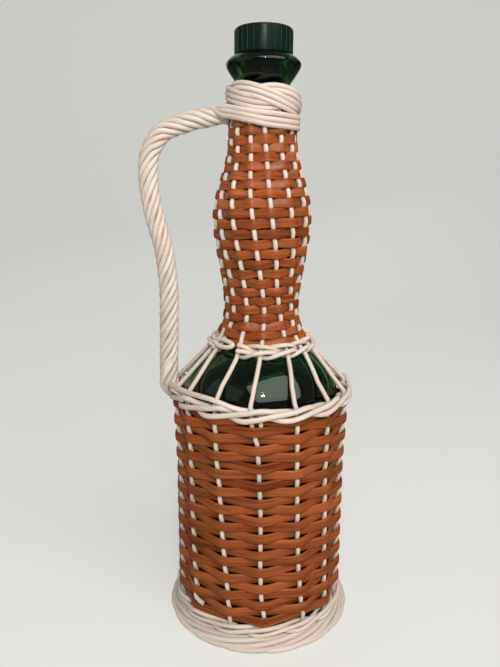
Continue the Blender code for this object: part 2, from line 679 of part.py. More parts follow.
def make_part():
    for leftover in list(bpy.data.objects):
        bpy.data.objects.remove(leftover, do_unlink=True)
    make_glass_bottle()
    make_cap_liner()
    make_screw_cap()

    line = cover_line()
    make_stakes(line)
    foot_wale = line.distance_at(FOOT_WALE_HEIGHT)
    make_band(line, "foot_wale", foot_wale, WALE_SHARES, FOOT_WALE_RADIUS, FOOT_WALE_RISE)
    wale = line.distance_at(WALE_HEIGHT)
    make_band(line, "shoulder_wale", wale, WALE_SHARES, WALE_RADIUS, WALE_RISE)
    make_weavers(
        line, "body", BODY_WEAVER_COUNT, BODY_START_STAKE,
        low=foot_wale + FOOT_WALE_RISE + FOOT_WALE_RADIUS + CLEARANCE,
        top=wale - WALE_RISE - WALE_RADIUS - CLEARANCE,
        pitch=BODY_ROW_PITCH,
        section=flat_section(BODY_CANE_WIDTH, BODY_CANE_THICKNESS),
        outside=BODY_ROOM + CLEARANCE,
        inside=BODY_ROOM,
        bridge=0,
    )

    pair_rise = PAIR_RADIUS + CLEARANCE
    pair_half = pair_rise + PAIR_RADIUS
    low_pair = line.distance_at(PAIR_LOW_HEIGHT)
    top_pair = low_pair + 2 * pair_half + CLEARANCE
    make_band(line, "neck_pair_low", low_pair, PAIR_SHARES, PAIR_RADIUS, pair_rise)
    make_band(line, "neck_pair_top", top_pair, PAIR_SHARES, PAIR_RADIUS, pair_rise, hand=-1)
    make_weavers(
        line, "neck", NECK_WEAVER_COUNT, NECK_START_STAKE,
        low=top_pair + pair_half + CLEARANCE,
        top=line.distance_at(WRAP_LOW_HEIGHT - WRAP_RADIUS - CLEARANCE),
        pitch=NECK_ROW_PITCH,
        section=flat_section(NECK_CANE_WIDTH, NECK_CANE_THICKNESS),
        outside=NECK_ROOM + CLEARANCE,
        inside=NECK_ROOM + NECK_SLACK,
        bridge=NECK_ROOM,
    )

    make_foot_canes()
    make_base_sticks()
    make_base_weaver()
    make_collar_wraps()
    make_collar_knot()
    make_handle(line)
    make_handle_tails(line)


make_part()
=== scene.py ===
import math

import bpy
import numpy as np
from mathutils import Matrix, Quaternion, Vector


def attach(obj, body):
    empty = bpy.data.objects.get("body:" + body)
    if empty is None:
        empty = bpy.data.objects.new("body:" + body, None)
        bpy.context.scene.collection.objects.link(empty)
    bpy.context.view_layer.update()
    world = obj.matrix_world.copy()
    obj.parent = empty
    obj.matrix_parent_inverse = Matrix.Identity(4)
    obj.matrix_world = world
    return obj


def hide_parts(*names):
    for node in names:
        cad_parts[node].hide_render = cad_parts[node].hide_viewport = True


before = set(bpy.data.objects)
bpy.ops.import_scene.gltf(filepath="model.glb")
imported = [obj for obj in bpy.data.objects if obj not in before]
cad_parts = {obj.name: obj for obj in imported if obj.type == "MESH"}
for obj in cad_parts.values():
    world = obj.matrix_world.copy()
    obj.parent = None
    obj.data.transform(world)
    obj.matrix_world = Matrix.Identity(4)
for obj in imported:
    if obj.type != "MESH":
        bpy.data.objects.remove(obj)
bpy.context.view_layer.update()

# The looks of a green glass bottle in a woven cane cover: every cane, the glass and the cap.
# The bottle stands on z = 0 about the Z axis, and its front looks along -Y. Sizes are in metres,
# but for the tables that say millimetres. A place on the cover is a stake's number, counted to
# the right from the front one, and a height.

TURN = 2 * math.pi
MM = 0.001
UP = (0.0, 0.0, 1.0)

# Glass
BODY_RADIUS = 0.0440
HEEL_RADIUS = 0.0050
HEEL_TOP_HEIGHT = 0.02
WAIST_RADIUS = 0.0153
BULB_RADIUS = 0.0204
THROAT_RADIUS = 0.0115
LIP_RADIUS = 0.0197
FINISH_RADIUS = 0.0133
BORE_RADIUS = 0.0096
GLASS_WALL = 0.0030
GLASS_FLOOR = 0.0050
GLASS_BOTTOM = 0.0052
SHOULDER_HEIGHT = 0.1345
SHOULDER_FULLNESS = 1.2
WAIST_LOW_HEIGHT = 0.1760
WAIST_TOP_HEIGHT = 0.1840
BULB_HEIGHT = 0.2320
THROAT_LOW_HEIGHT = 0.2740
THROAT_TOP_HEIGHT = 0.2960
LIP_START_RISE = 0.008
LIP_HEIGHT = 0.3108
SEAT_HEIGHT = 0.3150
MOUTH_HEIGHT = 0.3248
RIM_ROUND = 0.0007
THREAD_PITCH = 0.0032
THREAD_RISE = 0.00036
THREAD_FADE = 0.0006
THREAD_SLOPE = 1.6
THREAD_ROOT = 0.3
GLASS_SIDES = 144

# Lip of the glass as shares of its overhang past the finish, and of its depth from the rim
LIP_SHARES = (
    (-0.20, -0.90), (-0.02, -0.73), (0.27, -0.55), (0.55, -0.38), (0.83, -0.20), (0.95, -0.10),
    (1.00, 0.00), (0.94, 0.26), (0.79, 0.54), (0.57, 0.81), (0.33, 0.98), (0.00, 1.00),
)

# Screw cap
CAP_RADIUS = 0.01525
CAP_LOW_HEIGHT = 0.3153
CAP_CEILING = 0.3264
CAP_TOP_HEIGHT = 0.3281
CAP_CHAMFER = 0.0010
CAP_INNER_RADIUS = 0.01375
CAP_EDGE = 0.0003
CAP_RIM = 0.0005
CAP_TOP_RIM = 0.0004
RIB_COUNT = 26
RIB_DEPTH = 0.0004
RIB_RADIUS = 0.00048
RIB_LOW_GAP = 0.0004
RIB_TOP_GAP = 0.0002

# Canes
STAKE_COUNT = 15
STAKE_RADIUS = 0.0012
BODY_CANE_WIDTH = 0.0053
BODY_CANE_THICKNESS = 0.0019
NECK_CANE_WIDTH = 0.0051
NECK_CANE_THICKNESS = 0.0016
FLAT_CANE_CORNER = 0.62
FLAT_CANE_SIDES = 16
PAIR_RADIUS = 0.00122
FOOT_CANE_RADIUS = 0.00140
WRAP_RADIUS = 0.00135
KNOT_CANE_RADIUS = 0.00125
CANE_CREASE = math.radians(50)
TURNED_CREASE = math.radians(40)

# Shifts along a cane that give each strand and piece its own grain
STRAND_SHIFT = 3.7
PIECE_SHIFT = 1.3
PIECE_SHIFTS = 97

# Unevenness of hand work: lengths, but for the swell, the stakes' sway and the lay, and paces
WOBBLE_PHASE = 1.9
WOBBLE_SLOW = 2.3
WOBBLE_QUICK = 5.1
WOBBLE_QUICK_SHARE = 0.6
UNEVEN_PLACE = 0.00012
UNEVEN_ROW = 0.00008
UNEVEN_LIFT = 0.00006
UNEVEN_KNOT = 0.00010
UNEVEN_SWELL = 0.02
UNEVEN_STAKE = 0.0035
UNEVEN_LAY = 0.035
PACE_STAKE = 60
PACE_ROW = 2.3
PACE_SWELL = (0.31, 1.7)
PACE_LAY = 120
PACE_FOOT = 3

# Outline of the cane cover
BODY_STANDOFF = 0.0033
BODY_FLARE = 0.0019
BODY_FLARE_HEIGHT = 0.0950
NECK_STANDOFFS = (0.0037, 0.0044, 0.0050)
STAKE_FOOT_HEIGHT = 0.0048
STAKE_TOP_HEIGHT = 0.2880
STAKE_STEPS = 320
WINDOW_LOW_HEIGHT = 0.1398
WINDOW_TOP_HEIGHT = 0.1630
WINDOW_TOP_RADIUS = 0.0272
NECK_TWIST = math.radians(-23)
STAKE_ANGLE = TURN / STAKE_COUNT
FRONT_ANGLE = -TURN / 4
SLOPE_REACH = 1.5 * STAKE_RADIUS

# How far the stakes near the front lean aside, in degrees at heights in millimetres
LEAN_HEIGHTS = (
    15, 30, 50, 80, 110, 120, 129, 141, 148, 160, 170, 180, 190, 202, 215, 230, 245, 260, 275,
)
LEANS = {
    -2: (0, -1, -3, -4.5, -4.5, -4.7, -5, -6.5, -8, -12, -10, -4, -2, -2, -1.5, -3.3, -5.7, -9,
         -12),
    -1: (4, 2.5, 0, -2.5, -5, -5.2, -5.5, -5.5, -5.4, -2.2, -4.5, 0, 0, -0.3, -1, -2.8, -4.5, -6,
         -8),
    0: (3.5, 1, 0, 0, -1.8, -2.4, -5.6, -6.8, -5.6, -1.9, 1.5, 4, 4, 2, 0, -1, -2.5, -3, -3),
    1: (7, 4, 1.7, 0.3, -1, -1.5, -2, -3.6, -1.7, 4.5, 10, 8, 4, 1, 0.5, -2, -2.5, -1, -1),
    2: (4.5, 3, 1.8, 0.3, -1.2, -1.6, -2, -2.5, -1.6, 5.5, 8.5, 10.5, 7, 3.3, 3, 0, 0, 3, 5),
    3: (3, 2, 1, 0, -1, -1.5, -2, -3.8, -2, 6, 8, 8, 9.5, 11, 8, 5, 3.5, 7.5, 10),
}
LEAN_BACK_STAKE = 6

# Rows of the weave
BODY_ROW_PITCH = 0.00506
BODY_ROW_LOW = 0.01475
BODY_FIRST_STAKE = -4
BODY_JOINS = (0.55, 117, 235, 353)
BODY_ROOM = 0.00155
BODY_WEAVE_HEIGHTS = (0.013, 0.133)
NECK_ROW_PITCH = 0.00488
NECK_ROW_LOW = 0.1772
NECK_ROW_SWAY = 0.0014
NECK_ROW_SWAY_LENGTH = 0.1074
NECK_FIRST_STAKE = -1
NECK_JOINS = (-1.3, 180, 366)
NECK_ROOM = 0.00145
NECK_WEAVE_HEIGHTS = (0.172, 0.282)
STAKE_GIVE = 0.00050
CHORD_ROUND = 1.8
WEAVER_STEPS = 14
CREST_FLATNESS = 0.07
CREST_SWELL = 0.05

# Twined bands: name, height, step up the cover from there, strands, radius of a cane, rise, hand,
# first stake, and how much it rises at the sides
BANDS = (
    ("foot_wale", 0.0104, 0.0, 3, 0.00118, 0.0024, 1, -2, 0.0),
    ("shoulder_wale", 0.1362, 0.0, 3, 0.00142, 0.0029, 1, -2, 0.0005),
    ("neck_pair_low", 0.1622, 0.0, 2, PAIR_RADIUS, 0.00125, 1, -1, 0.0),
    ("neck_pair_top", 0.1622, 0.0040, 2, PAIR_RADIUS, 0.00125, -1, -1, 0.0),
)
BAND_LAST_STAKE = 13
TWINE_STEPS = 20
TWINE_BENDS = {2: 0.35, 3: 0.75}
TWINE_TUCK = 0.85
TWINE_PULL = 0.6
TWINE_SMOOTHING = 7

# Stray canes of some nodes: places by stake, height and, if given, lift, in millimetres, then the
# lifts of the two ends, the swell, and the steps from place to place. They are a short cane beside
# the front stake, a turned end under the weave, the loop where the twined pairs start, and a cane
# from the handle's foot that tucks in at the front stake
STRAY_CANES = {
    "stake_01": (((0.19, 126.2), (0.19, 137.5)), (-0.0004, -0.0004), 1.0, 23),
    "stake_14": (
        ((-2.0, 24.0), (-2.0, 22.4), (-1.96, 21.2), (-1.86, 20.7), (-1.68, 20.5)),
        (0.0008, 0.0026), 0.85, 8),
    "neck_pair_low_1": (
        ((-2.9, 164.6), (-2.4, 165.7), (-1.95, 166.2), (-1.55, 166.2), (-1.28, 165.4),
         (-1.22, 164.3), (-1.38, 163.3), (-1.7, 163.0), (-2.05, 163.5), (-2.45, 163.9),
         (-2.9, 163.2)), 2 * (STAKE_RADIUS + PAIR_RADIUS,), 1.42, 8),
    "shoulder_wale_1": (
        ((-3.5, 138.6, 2.6), (-3.1, 139.7, 2.6), (-2.5, 140.5, 2.6), (-2.0, 140.8, 2.6),
         (-1.4, 141.0, 2.5), (-1.0, 140.8, 2.5), (-0.6, 140.0, 1.8), (-0.3, 139.0, 0.4),
         (-0.1, 138.1, -1.2), (0.05, 137.6, -2.2)), None, 1.0, 8),
}

# Border of the foot. Shares are of a cane's run from its stake to its end
FOOT_RADIUS = 0.0527
FOOT_TOP_RADIUS = 0.0488
FOOT_TOP_HEIGHT = 0.0062
FOOT_CANE_SPAN = 3.3
FOOT_CANE_TURN = 0.06
FOOT_TUCK_SHARE = 0.34
FOOT_TUCK_DEPTH = 0.0034
FOOT_TUCK_DROP = 0.0012
FOOT_FALL_SHARE = 0.66
FOOT_FALL_RANGE = (-0.44, 1.1)
FOOT_END_SHARE = 0.14
FOOT_END_DEPTH = 0.0027
FOOT_PRESS = 0.0002
FOOT_STEPS = 80
FOOT_SMOOTHING = 13

# Base
BASE_STICK_WIDTH = 0.0032
BASE_STICK_THICKNESS = 0.0023
BASE_STICK_CORNER = 0.6
BASE_STICK_SPACING = 0.0050
BASE_STICK_REACH = 0.0470
BASE_STICKS_EACH_WAY = 3
BASE_CLEARANCE = 0.0003
BASE_CANE_WIDTH = 0.0044
BASE_CANE_THICKNESS = 0.0015
BASE_CANE_PITCH = 0.00575
BASE_CANE_TURNS = 4
BASE_CANE_SIDES = 14
BASE_LIFT_SHARES = (1, 1, 0, -1, -1, -1, 0, 1)

# Handle: its middle line as distances to the left of the axis and heights
HANDLE_ROUTE = (
    (0.0492, 0.1312), (0.0513, 0.1350), (0.0526, 0.1405), (0.0529, 0.1470), (0.0527, 0.1559),
    (0.0524, 0.1660), (0.0522, 0.1752), (0.0519, 0.1880), (0.0524, 0.1995), (0.0542, 0.2154),
    (0.0574, 0.2275), (0.0596, 0.2370), (0.0613, 0.2480), (0.0616, 0.2575), (0.0606, 0.2660),
    (0.0575, 0.2721), (0.0534, 0.2771), (0.0480, 0.2799), (0.0421, 0.2818), (0.0336, 0.2842),
    (0.0260, 0.2853), (0.0196, 0.2857),
)
HANDLE_RADIUS = 0.0054
HANDLE_STRANDS = 7
HANDLE_STRAND_RADIUS = 0.0015
HANDLE_CORE_SWELL = 1.5
HANDLE_LAY = -0.041
HANDLE_STEPS = 300
HANDLE_FOOT_TAPER, HANDLE_FOOT_LENGTH = 0.45, 0.009
HANDLE_TOP_TAPER, HANDLE_TOP_LENGTH = 0.3, 0.012

# Where three of its canes leave it, and steps counted back from there
HANDLE_SPLIT_X = -0.0300
HANDLE_SPLIT_SIDE = (0, 0.55, 1.0)
HANDLE_CUT_STEPS = 14
WRAP_START_STEPS = 16
WRAP_START_STRIDE = 5

# Its ends over the shoulder band
HANDLE_TAIL = (
    (-0.0506, -0.0022, 0.1515), (-0.0518, -0.0038, 0.1484), (-0.0542, -0.0043, 0.1446),
    (-0.0562, -0.0028, 0.1410), (-0.0566, -0.0008, 0.1374), (-0.0549, 0.0002, 0.1334),
    (-0.0512, 0.0006, 0.1298),
)
HANDLE_TAIL_SHIFTS = (0.0, 0.0029)
HANDLE_TAIL_SPREAD = 0.3
HANDLE_TAIL_ASIDE = 0.0010
HANDLE_TAIL_LENGTH = 0.0210

# Wraps of the collar: turns in degrees, standoffs, and heights in millimetres for each cane
WRAP_RING_RADIUS = 0.0187
WRAP_TURNS = (-160, -146, -124, -105, -88, -66, -40, -15, 30, 90, 140, 172)
WRAP_STANDOFFS = (0.0036, 0.0010) + 10 * (0,)
WRAP_HEIGHTS = (
    (285.1, 284.1, 282.5, 281.1, 279.9, 279.2, 279.0, 279.0, 279.2, 279.8, 281.2, 282.4),
    (287.5, 286.4, 284.8, 283.4, 282.5, 281.9, 281.6, 281.6, 281.8, 282.5, 283.9, 285.2),
    (289.3, 288.6, 287.1, 285.9, 285.3, 284.8, 284.3, 284.2, 284.3, 285.0, 286.4, 287.9),
)
WRAP_BRIDGE_RISE = 0.0009
WRAP_SWELL_STEPS = (0, 36, 52)
WRAP_SWELLS = (1.11, 1.11, 1.0)

# Plait of the collar
KNOT_RADIUS = 0.0180
KNOT_HEIGHT = 0.2933
KNOT_TILT = 0.0016
KNOT_RISE = 0.0034
KNOT_SWELL = 0.0013
KNOT_TURNS = 3
KNOT_BIGHTS = 5
KNOT_LEAN = math.radians(3)
KNOT_START = math.radians(-115)
KNOT_BIGHT_STEPS = 60
KNOT_LANE_SPACING = 1.94
KNOT_LANE_DROP = 0.0004

# Finishes. A stretch is how often the grain's noise changes along, across and into a cane
FINE_GRAIN = (60, 2600, 1700)
BROAD_MOTTLE = (26, 330, 330)
LONG_MOTTLE = (7, 40, 40)
GRAIN_ROUGHNESS = 0.5
GRAIN_DEPTH = 0.0002
SPECKLE_DEPTH = 0.0003
LIP_GREEN = (0.003, 0.085, 0.008, 1)
LIP_GREEN_HEIGHTS = (0.18, 0.29)
GLASS_IOR = 1.48
CAP_SHINE = 0.10

# Floor, lamps and camera
FLOOR_HALF = 3.0
FLOOR_BACK = 0.9
FLOOR_BEND = 0.6
FLOOR_RISE = 2.2
FLOOR_GLOW_SHARE = 0.5
PALE = (0.88, 0.88, 0.85, 1)
MIRRORED_FLOOR = (0.16, 0.18, 0.16, 1)
SKY_LIGHT = (0.95, 0.97, 1.0, 1)
SKY_LIGHT_STRENGTH = 0.17
SKY_PALE_STRENGTH = 0.62

# Each lamp's name, place, aim, size, power and colour
LAMPS = (
    ("key", (0.38, -0.74, 0.92), (0, 0, 0.18), (1.5, 1.1), 14, (1.0, 0.97, 0.93)),
    ("fill", (-0.9, -0.5, 0.45), (0, 0, 0.16), (1.1, 1.3), 1.4, (0.93, 0.97, 1.0)),
    ("back", (-0.2, 0.95, 0.75), (0, 0, 0.16), (1.5, 1.0), 2.6, (1, 1, 1)),
    ("front", (0.02, -0.42, 0.42), (0, 0, 0.26), (0.035, 0.035), 0.95, (1.0, 0.98, 0.95)),
)
CAMERA_PLACE = (-0.0062, -0.3465, 0.2463)
CAMERA_SENSOR = 36
CAMERA_LENS = 33.58
CAMERA_CLIP = 0.01
CAMERA_FALL = math.radians(12.79)
CAMERA_ROLL = math.radians(-0.35)


# Node trees and objects

def filled(tree, node, inputs):
    """Fill or link a node's inputs by name."""
    for name, value in inputs.items():
        socket = node.inputs[name]
        if isinstance(value, bpy.types.NodeSocket):
            tree.links.new(value, socket)
        else:
            socket.default_value = value
    return node


def placed(tree, kind, inputs=None, **settings):
    """Add a node, set its properties, and fill or link its inputs by name."""
    node = tree.nodes.new(kind)
    for name, value in settings.items():
        setattr(node, name, value)
    return filled(tree, node, inputs or {})


def wired(tree, kind, inputs=None, **settings):
    """Add a node as placed does, and return its first output."""
    return placed(tree, kind, inputs, **settings).outputs[0]


def maths(tree, operation, first, second=0.0, **settings):
    return wired(tree, "ShaderNodeMath", {0: first, 1: second}, operation=operation, **settings)


def mixed(tree, share, first, second):
    """A blend of two colours."""
    return placed(
        tree, "ShaderNodeMix", {"Factor": share, "A": first, "B": second}, data_type="RGBA"
    ).outputs["Result"]


def new_group(name, kind, inputs, outputs):
    """A node group with named sockets, their identifiers, and the sockets that it is given."""
    tree = bpy.data.node_groups.new(name, kind)
    keys = {}
    for side, sockets in (("INPUT", inputs), ("OUTPUT", outputs)):
        for key, value in sockets.items():
            keys[key] = tree.interface.new_socket(
                name=key, in_out=side, socket_type="NodeSocket" + value
            ).identifier
    return tree, keys, placed(tree, "NodeGroupInput").outputs


def new_object(name, data):
    made = bpy.data.objects.new(name, data)
    bpy.context.scene.collection.objects.link(made)
    return made


def put_out(tree, result, geometry, finish):
    """End a tree with its instances made real, in one material."""
    made = wired(tree, "GeometryNodeRealizeInstances", {"Geometry": geometry})
    made = wired(tree, "GeometryNodeSetMaterial", {"Geometry": made, "Material": finish})
    placed(tree, "NodeGroupOutput", {result: made})


def settled(source, name, tree, keys, values):
    """The plain piece that geometry nodes make of an object, which is then removed."""
    modifier = source.modifiers.new(name, "NODES")
    modifier.node_group = tree
    for key, value in values.items():
        modifier[keys[key]] = value
    bpy.context.view_layer.update()
    graph = bpy.context.evaluated_depsgraph_get()
    mesh = bpy.data.meshes.new_from_object(source.evaluated_get(graph))
    bpy.data.objects.remove(source, do_unlink=True)
    mesh.name = name
    mesh.set_sharp_from_angle(angle=CANE_CREASE)
    return new_object(name, mesh)


def build_cane_tree():
    """Geometry nodes that give each path its cane: a rounded section with its outer face out."""
    tree, keys, given = new_group("cane along a path", "GeometryNodeTree", {
        "Path": "Geometry", "Width": "Float", "Thickness": "Float", "Corner": "Float",
        "Sides": "Int", "Finish": "Material",
    }, {"Cane": "Geometry"})
    position = wired(tree, "GeometryNodeInputPosition")

    def carried(name, kind="FLOAT"):
        return wired(tree, "GeometryNodeInputNamedAttribute", {"Name": name}, data_type=kind)

    def stored(geometry, name, value):
        return wired(
            tree, "GeometryNodeStoreNamedAttribute",
            {"Geometry": geometry, "Name": name, "Value": value}, data_type="FLOAT_VECTOR",
        )

    curve = wired(tree, "GeometryNodeMeshToCurve", {"Mesh": given["Path"]})
    curve = wired(
        tree, "GeometryNodeSetCurveNormal",
        {"Curve": curve, "Normal": carried("out", "FLOAT_VECTOR")}, mode="FREE",
    )
    curve = wired(tree, "GeometryNodeSetCurveRadius", {"Curve": curve, "Radius": carried("swell")})

    section = wired(
        tree, "GeometryNodeCurvePrimitiveCircle", {"Resolution": given["Sides"], "Radius": 1.0}
    )
    circle = placed(tree, "ShaderNodeSeparateXYZ", {"Vector": position}).outputs
    place = {}
    for axis, size in (("X", "Thickness"), ("Y", "Width")):
        raised = maths(tree, "POWER", maths(tree, "ABSOLUTE", circle[axis]), given["Corner"])
        signed = maths(tree, "MULTIPLY", raised, maths(tree, "SIGN", circle[axis]))
        place[axis] = maths(tree, "MULTIPLY", signed, maths(tree, "MULTIPLY", given[size], 0.5))
    section = wired(
        tree, "GeometryNodeSetPosition",
        {"Geometry": section, "Position": wired(tree, "ShaderNodeCombineXYZ", place)},
    )
    section = stored(section, "face", position)
    skin = wired(
        tree, "GeometryNodeCurveToMesh",
        {"Curve": curve, "Profile Curve": section, "Fill Caps": True},
    )
    face = placed(
        tree, "ShaderNodeSeparateXYZ", {"Vector": carried("face", "FLOAT_VECTOR")}
    ).outputs
    cane_place = wired(
        tree, "ShaderNodeCombineXYZ", {"X": carried("along"), "Y": face["Y"], "Z": face["X"]}
    )
    skin = stored(skin, "cane_place", cane_place)
    skin = wired(tree, "GeometryNodeSetShadeSmooth", {"Geometry": skin})
    put_out(tree, "Cane", skin, given["Finish"])
    return tree, keys


def travelled(path):
    """Distance along a path at each of its points."""
    return np.concatenate([[0], np.cumsum(np.linalg.norm(np.diff(path, axis=0), axis=1))])


def canes(name, strands, width, thickness, finish, corner=1.0, sides=12):
    """One piece of canes. A strand is its points, the way its outer face looks, and its swell."""
    paths = [strand[0] for strand in strands]
    outs = [strand[1] for strand in strands]
    swells = [strand[2] if len(strand) > 2 else np.ones(len(strand[0])) for strand in strands]
    shift = PIECE_SHIFT * (sum(map(ord, name)) % PIECE_SHIFTS)
    alongs = []
    edges = []
    start = 0
    for index, path in enumerate(paths):
        alongs.append(travelled(path) + (STRAND_SHIFT * index + shift))
        edges += [(start + step, start + step + 1) for step in range(len(path) - 1)]
        start += len(path)
    mesh = bpy.data.meshes.new(name + "_path")
    mesh.from_pydata(np.concatenate(paths).tolist(), edges, [])
    for key, kind, field, values in (("out", "FLOAT_VECTOR", "vector", outs),
                                     ("along", "FLOAT", "value", alongs),
                                     ("swell", "FLOAT", "value", swells)):
        layer = mesh.attributes.new(key, kind, "POINT")
        layer.data.foreach_set(field, np.ravel(np.concatenate(values)))
    tree, keys = CANE_TREE
    return settled(new_object(name + "_path", mesh), name, tree, keys, {
        "Width": width, "Thickness": thickness, "Corner": corner, "Sides": sides,
        "Finish": finish,
    })


def worn(piece, node, body="bottle"):
    """Put a finished piece on its body, in the place of its CAD node."""
    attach(piece, body)
    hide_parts(node)


def round_canes(name, strands, radius):
    return canes(name, strands, 2 * radius, 2 * radius, CREAM)


def dress_round(name, strands, radius, node):
    """Round bare canes in the place of a CAD node."""
    worn(round_canes(name, strands, radius), node)


# Finishes

def fibre_group():
    """Lengthwise grain of cane, read from each cane's own length, width and depth."""
    tree, _, given = new_group("cane fibre", "ShaderNodeTree", {
        "Pale": "Color", "Deep": "Color", "Grain": "Float", "Mottle": "Float", "Polish": "Float",
    }, {"Color": "Color", "Roughness": "Float", "Height": "Float"})
    place = placed(tree, "ShaderNodeAttribute", attribute_name="cane_place").outputs["Vector"]

    def noise(stretch, detail):
        spread = wired(
            tree, "ShaderNodeVectorMath", {0: place, 1: stretch}, operation="MULTIPLY"
        )
        return wired(
            tree, "ShaderNodeTexNoise", {"Vector": spread, "Scale": 1, "Detail": detail}
        )

    def part_of(value, amount):
        return maths(tree, "MULTIPLY", maths(tree, "SUBTRACT", value, 0.5), amount)

    fine = noise(FINE_GRAIN, 3)
    broad = part_of(noise(BROAD_MOTTLE, 2), given["Mottle"])
    long = part_of(noise(LONG_MOTTLE, 1), given["Mottle"])
    share = maths(tree, "ADD", part_of(fine, given["Grain"]), 0.5)
    share = maths(tree, "ADD", share, broad)
    share = maths(tree, "ADD", share, long, use_clamp=True)
    placed(tree, "NodeGroupOutput", {
        "Color": mixed(tree, share, given["Deep"], given["Pale"]),
        "Roughness": maths(
            tree, "ADD", part_of(fine, GRAIN_ROUGHNESS), given["Polish"], use_clamp=True
        ),
        "Height": fine,
    })
    return tree


def new_material(name):
    made = bpy.data.materials.new(name)
    made.use_nodes = True
    return made, made.node_tree, made.node_tree.nodes["Principled BSDF"]


def cane_finish(name, pale, deep, grain, mottle, polish, bump, shine):
    """Cane whose grain and mottle run from a pale to a deep colour."""
    made, tree, shader = new_material(name)
    fibre = placed(tree, "ShaderNodeGroup", {
        "Pale": (*pale, 1), "Deep": (*deep, 1), "Grain": grain, "Mottle": mottle,
        "Polish": polish,
    }, node_tree=FIBRE).outputs
    filled(tree, shader, {
        "Base Color": fibre["Color"], "Roughness": fibre["Roughness"],
        "Normal": wired(tree, "ShaderNodeBump", {
            "Height": fibre["Height"], "Strength": bump, "Distance": GRAIN_DEPTH,
        }),
        "Specular IOR Level": shine,
    })
    return made


def speckled(name, colour, other, scale, rough, spread, bump):
    """A moulded surface with a faint change of colour and gloss."""
    made, tree, shader = new_material(name)
    place = placed(tree, "ShaderNodeTexCoord").outputs["Object"]
    noise = wired(tree, "ShaderNodeTexNoise", {"Vector": place, "Scale": scale, "Detail": 3})
    filled(tree, shader, {
        "Base Color": mixed(tree, noise, (*colour, 1), (*other, 1)),
        "Roughness": wired(tree, "ShaderNodeMapRange", {
            "Value": noise, "To Min": rough - spread, "To Max": rough + spread,
        }),
        "Normal": wired(tree, "ShaderNodeBump", {
            "Height": noise, "Strength": bump, "Distance": SPECKLE_DEPTH,
        }),
    })
    return made, tree, shader


def glass_finish():
    """Green glass, deepest at the thick lip."""
    made, tree, shader = speckled(
        "green_glass", (0.009, 0.30, 0.030), (0.012, 0.35, 0.038),
        scale=40, rough=0.03, spread=0.012, bump=0.10,
    )
    paler = shader.inputs["Base Color"].links[0].from_socket
    place = placed(tree, "ShaderNodeTexCoord").outputs["Object"]
    height = placed(tree, "ShaderNodeSeparateXYZ", {"Vector": place}).outputs["Z"]
    low, top = LIP_GREEN_HEIGHTS
    thick = wired(tree, "ShaderNodeMapRange", {"Value": height, "From Min": low, "From Max": top})
    filled(tree, shader, {
        "Base Color": mixed(tree, thick, paler, LIP_GREEN), "Transmission Weight": 1.0,
        "IOR": GLASS_IOR,
    })
    return made


def cap_finish():
    made, _, shader = speckled(
        "cap_plastic", (0.0024, 0.0104, 0.0068), (0.0040, 0.0148, 0.0100),
        scale=900, rough=0.30, spread=0.07, bump=0.12,
    )
    shader.inputs["Specular IOR Level"].default_value = CAP_SHINE
    return made


def liner_finish():
    return speckled(
        "liner_foam", (0.72, 0.72, 0.69), (0.80, 0.80, 0.77),
        scale=2500, rough=0.60, spread=0.08, bump=0.30,
    )[0]


# Paths on the cover

def eased(share):
    return (1 - np.cos(np.pi * np.clip(share, 0, 1))) / 2


def smoothed(values, window):
    return np.convolve(values, np.ones(window) / window, mode="valid")


def glass_radius(height):
    """Outer radius of the bottle from its body up to the throat."""
    height = np.asarray(height, float)
    radius = np.full(height.shape, BODY_RADIUS)
    for low, top, low_radius, top_radius, fullness in (
        (SHOULDER_HEIGHT, WAIST_LOW_HEIGHT, BODY_RADIUS, WAIST_RADIUS, SHOULDER_FULLNESS),
        (WAIST_TOP_HEIGHT, BULB_HEIGHT, WAIST_RADIUS, BULB_RADIUS, 1),
        (BULB_HEIGHT, THROAT_LOW_HEIGHT, BULB_RADIUS, THROAT_RADIUS, 1),
    ):
        share = np.clip((height - low) / (top - low), 0, 1) ** fullness
        grown = low_radius + (top_radius - low_radius) * eased(share)
        radius = np.where(height > low, grown, radius)
    return radius


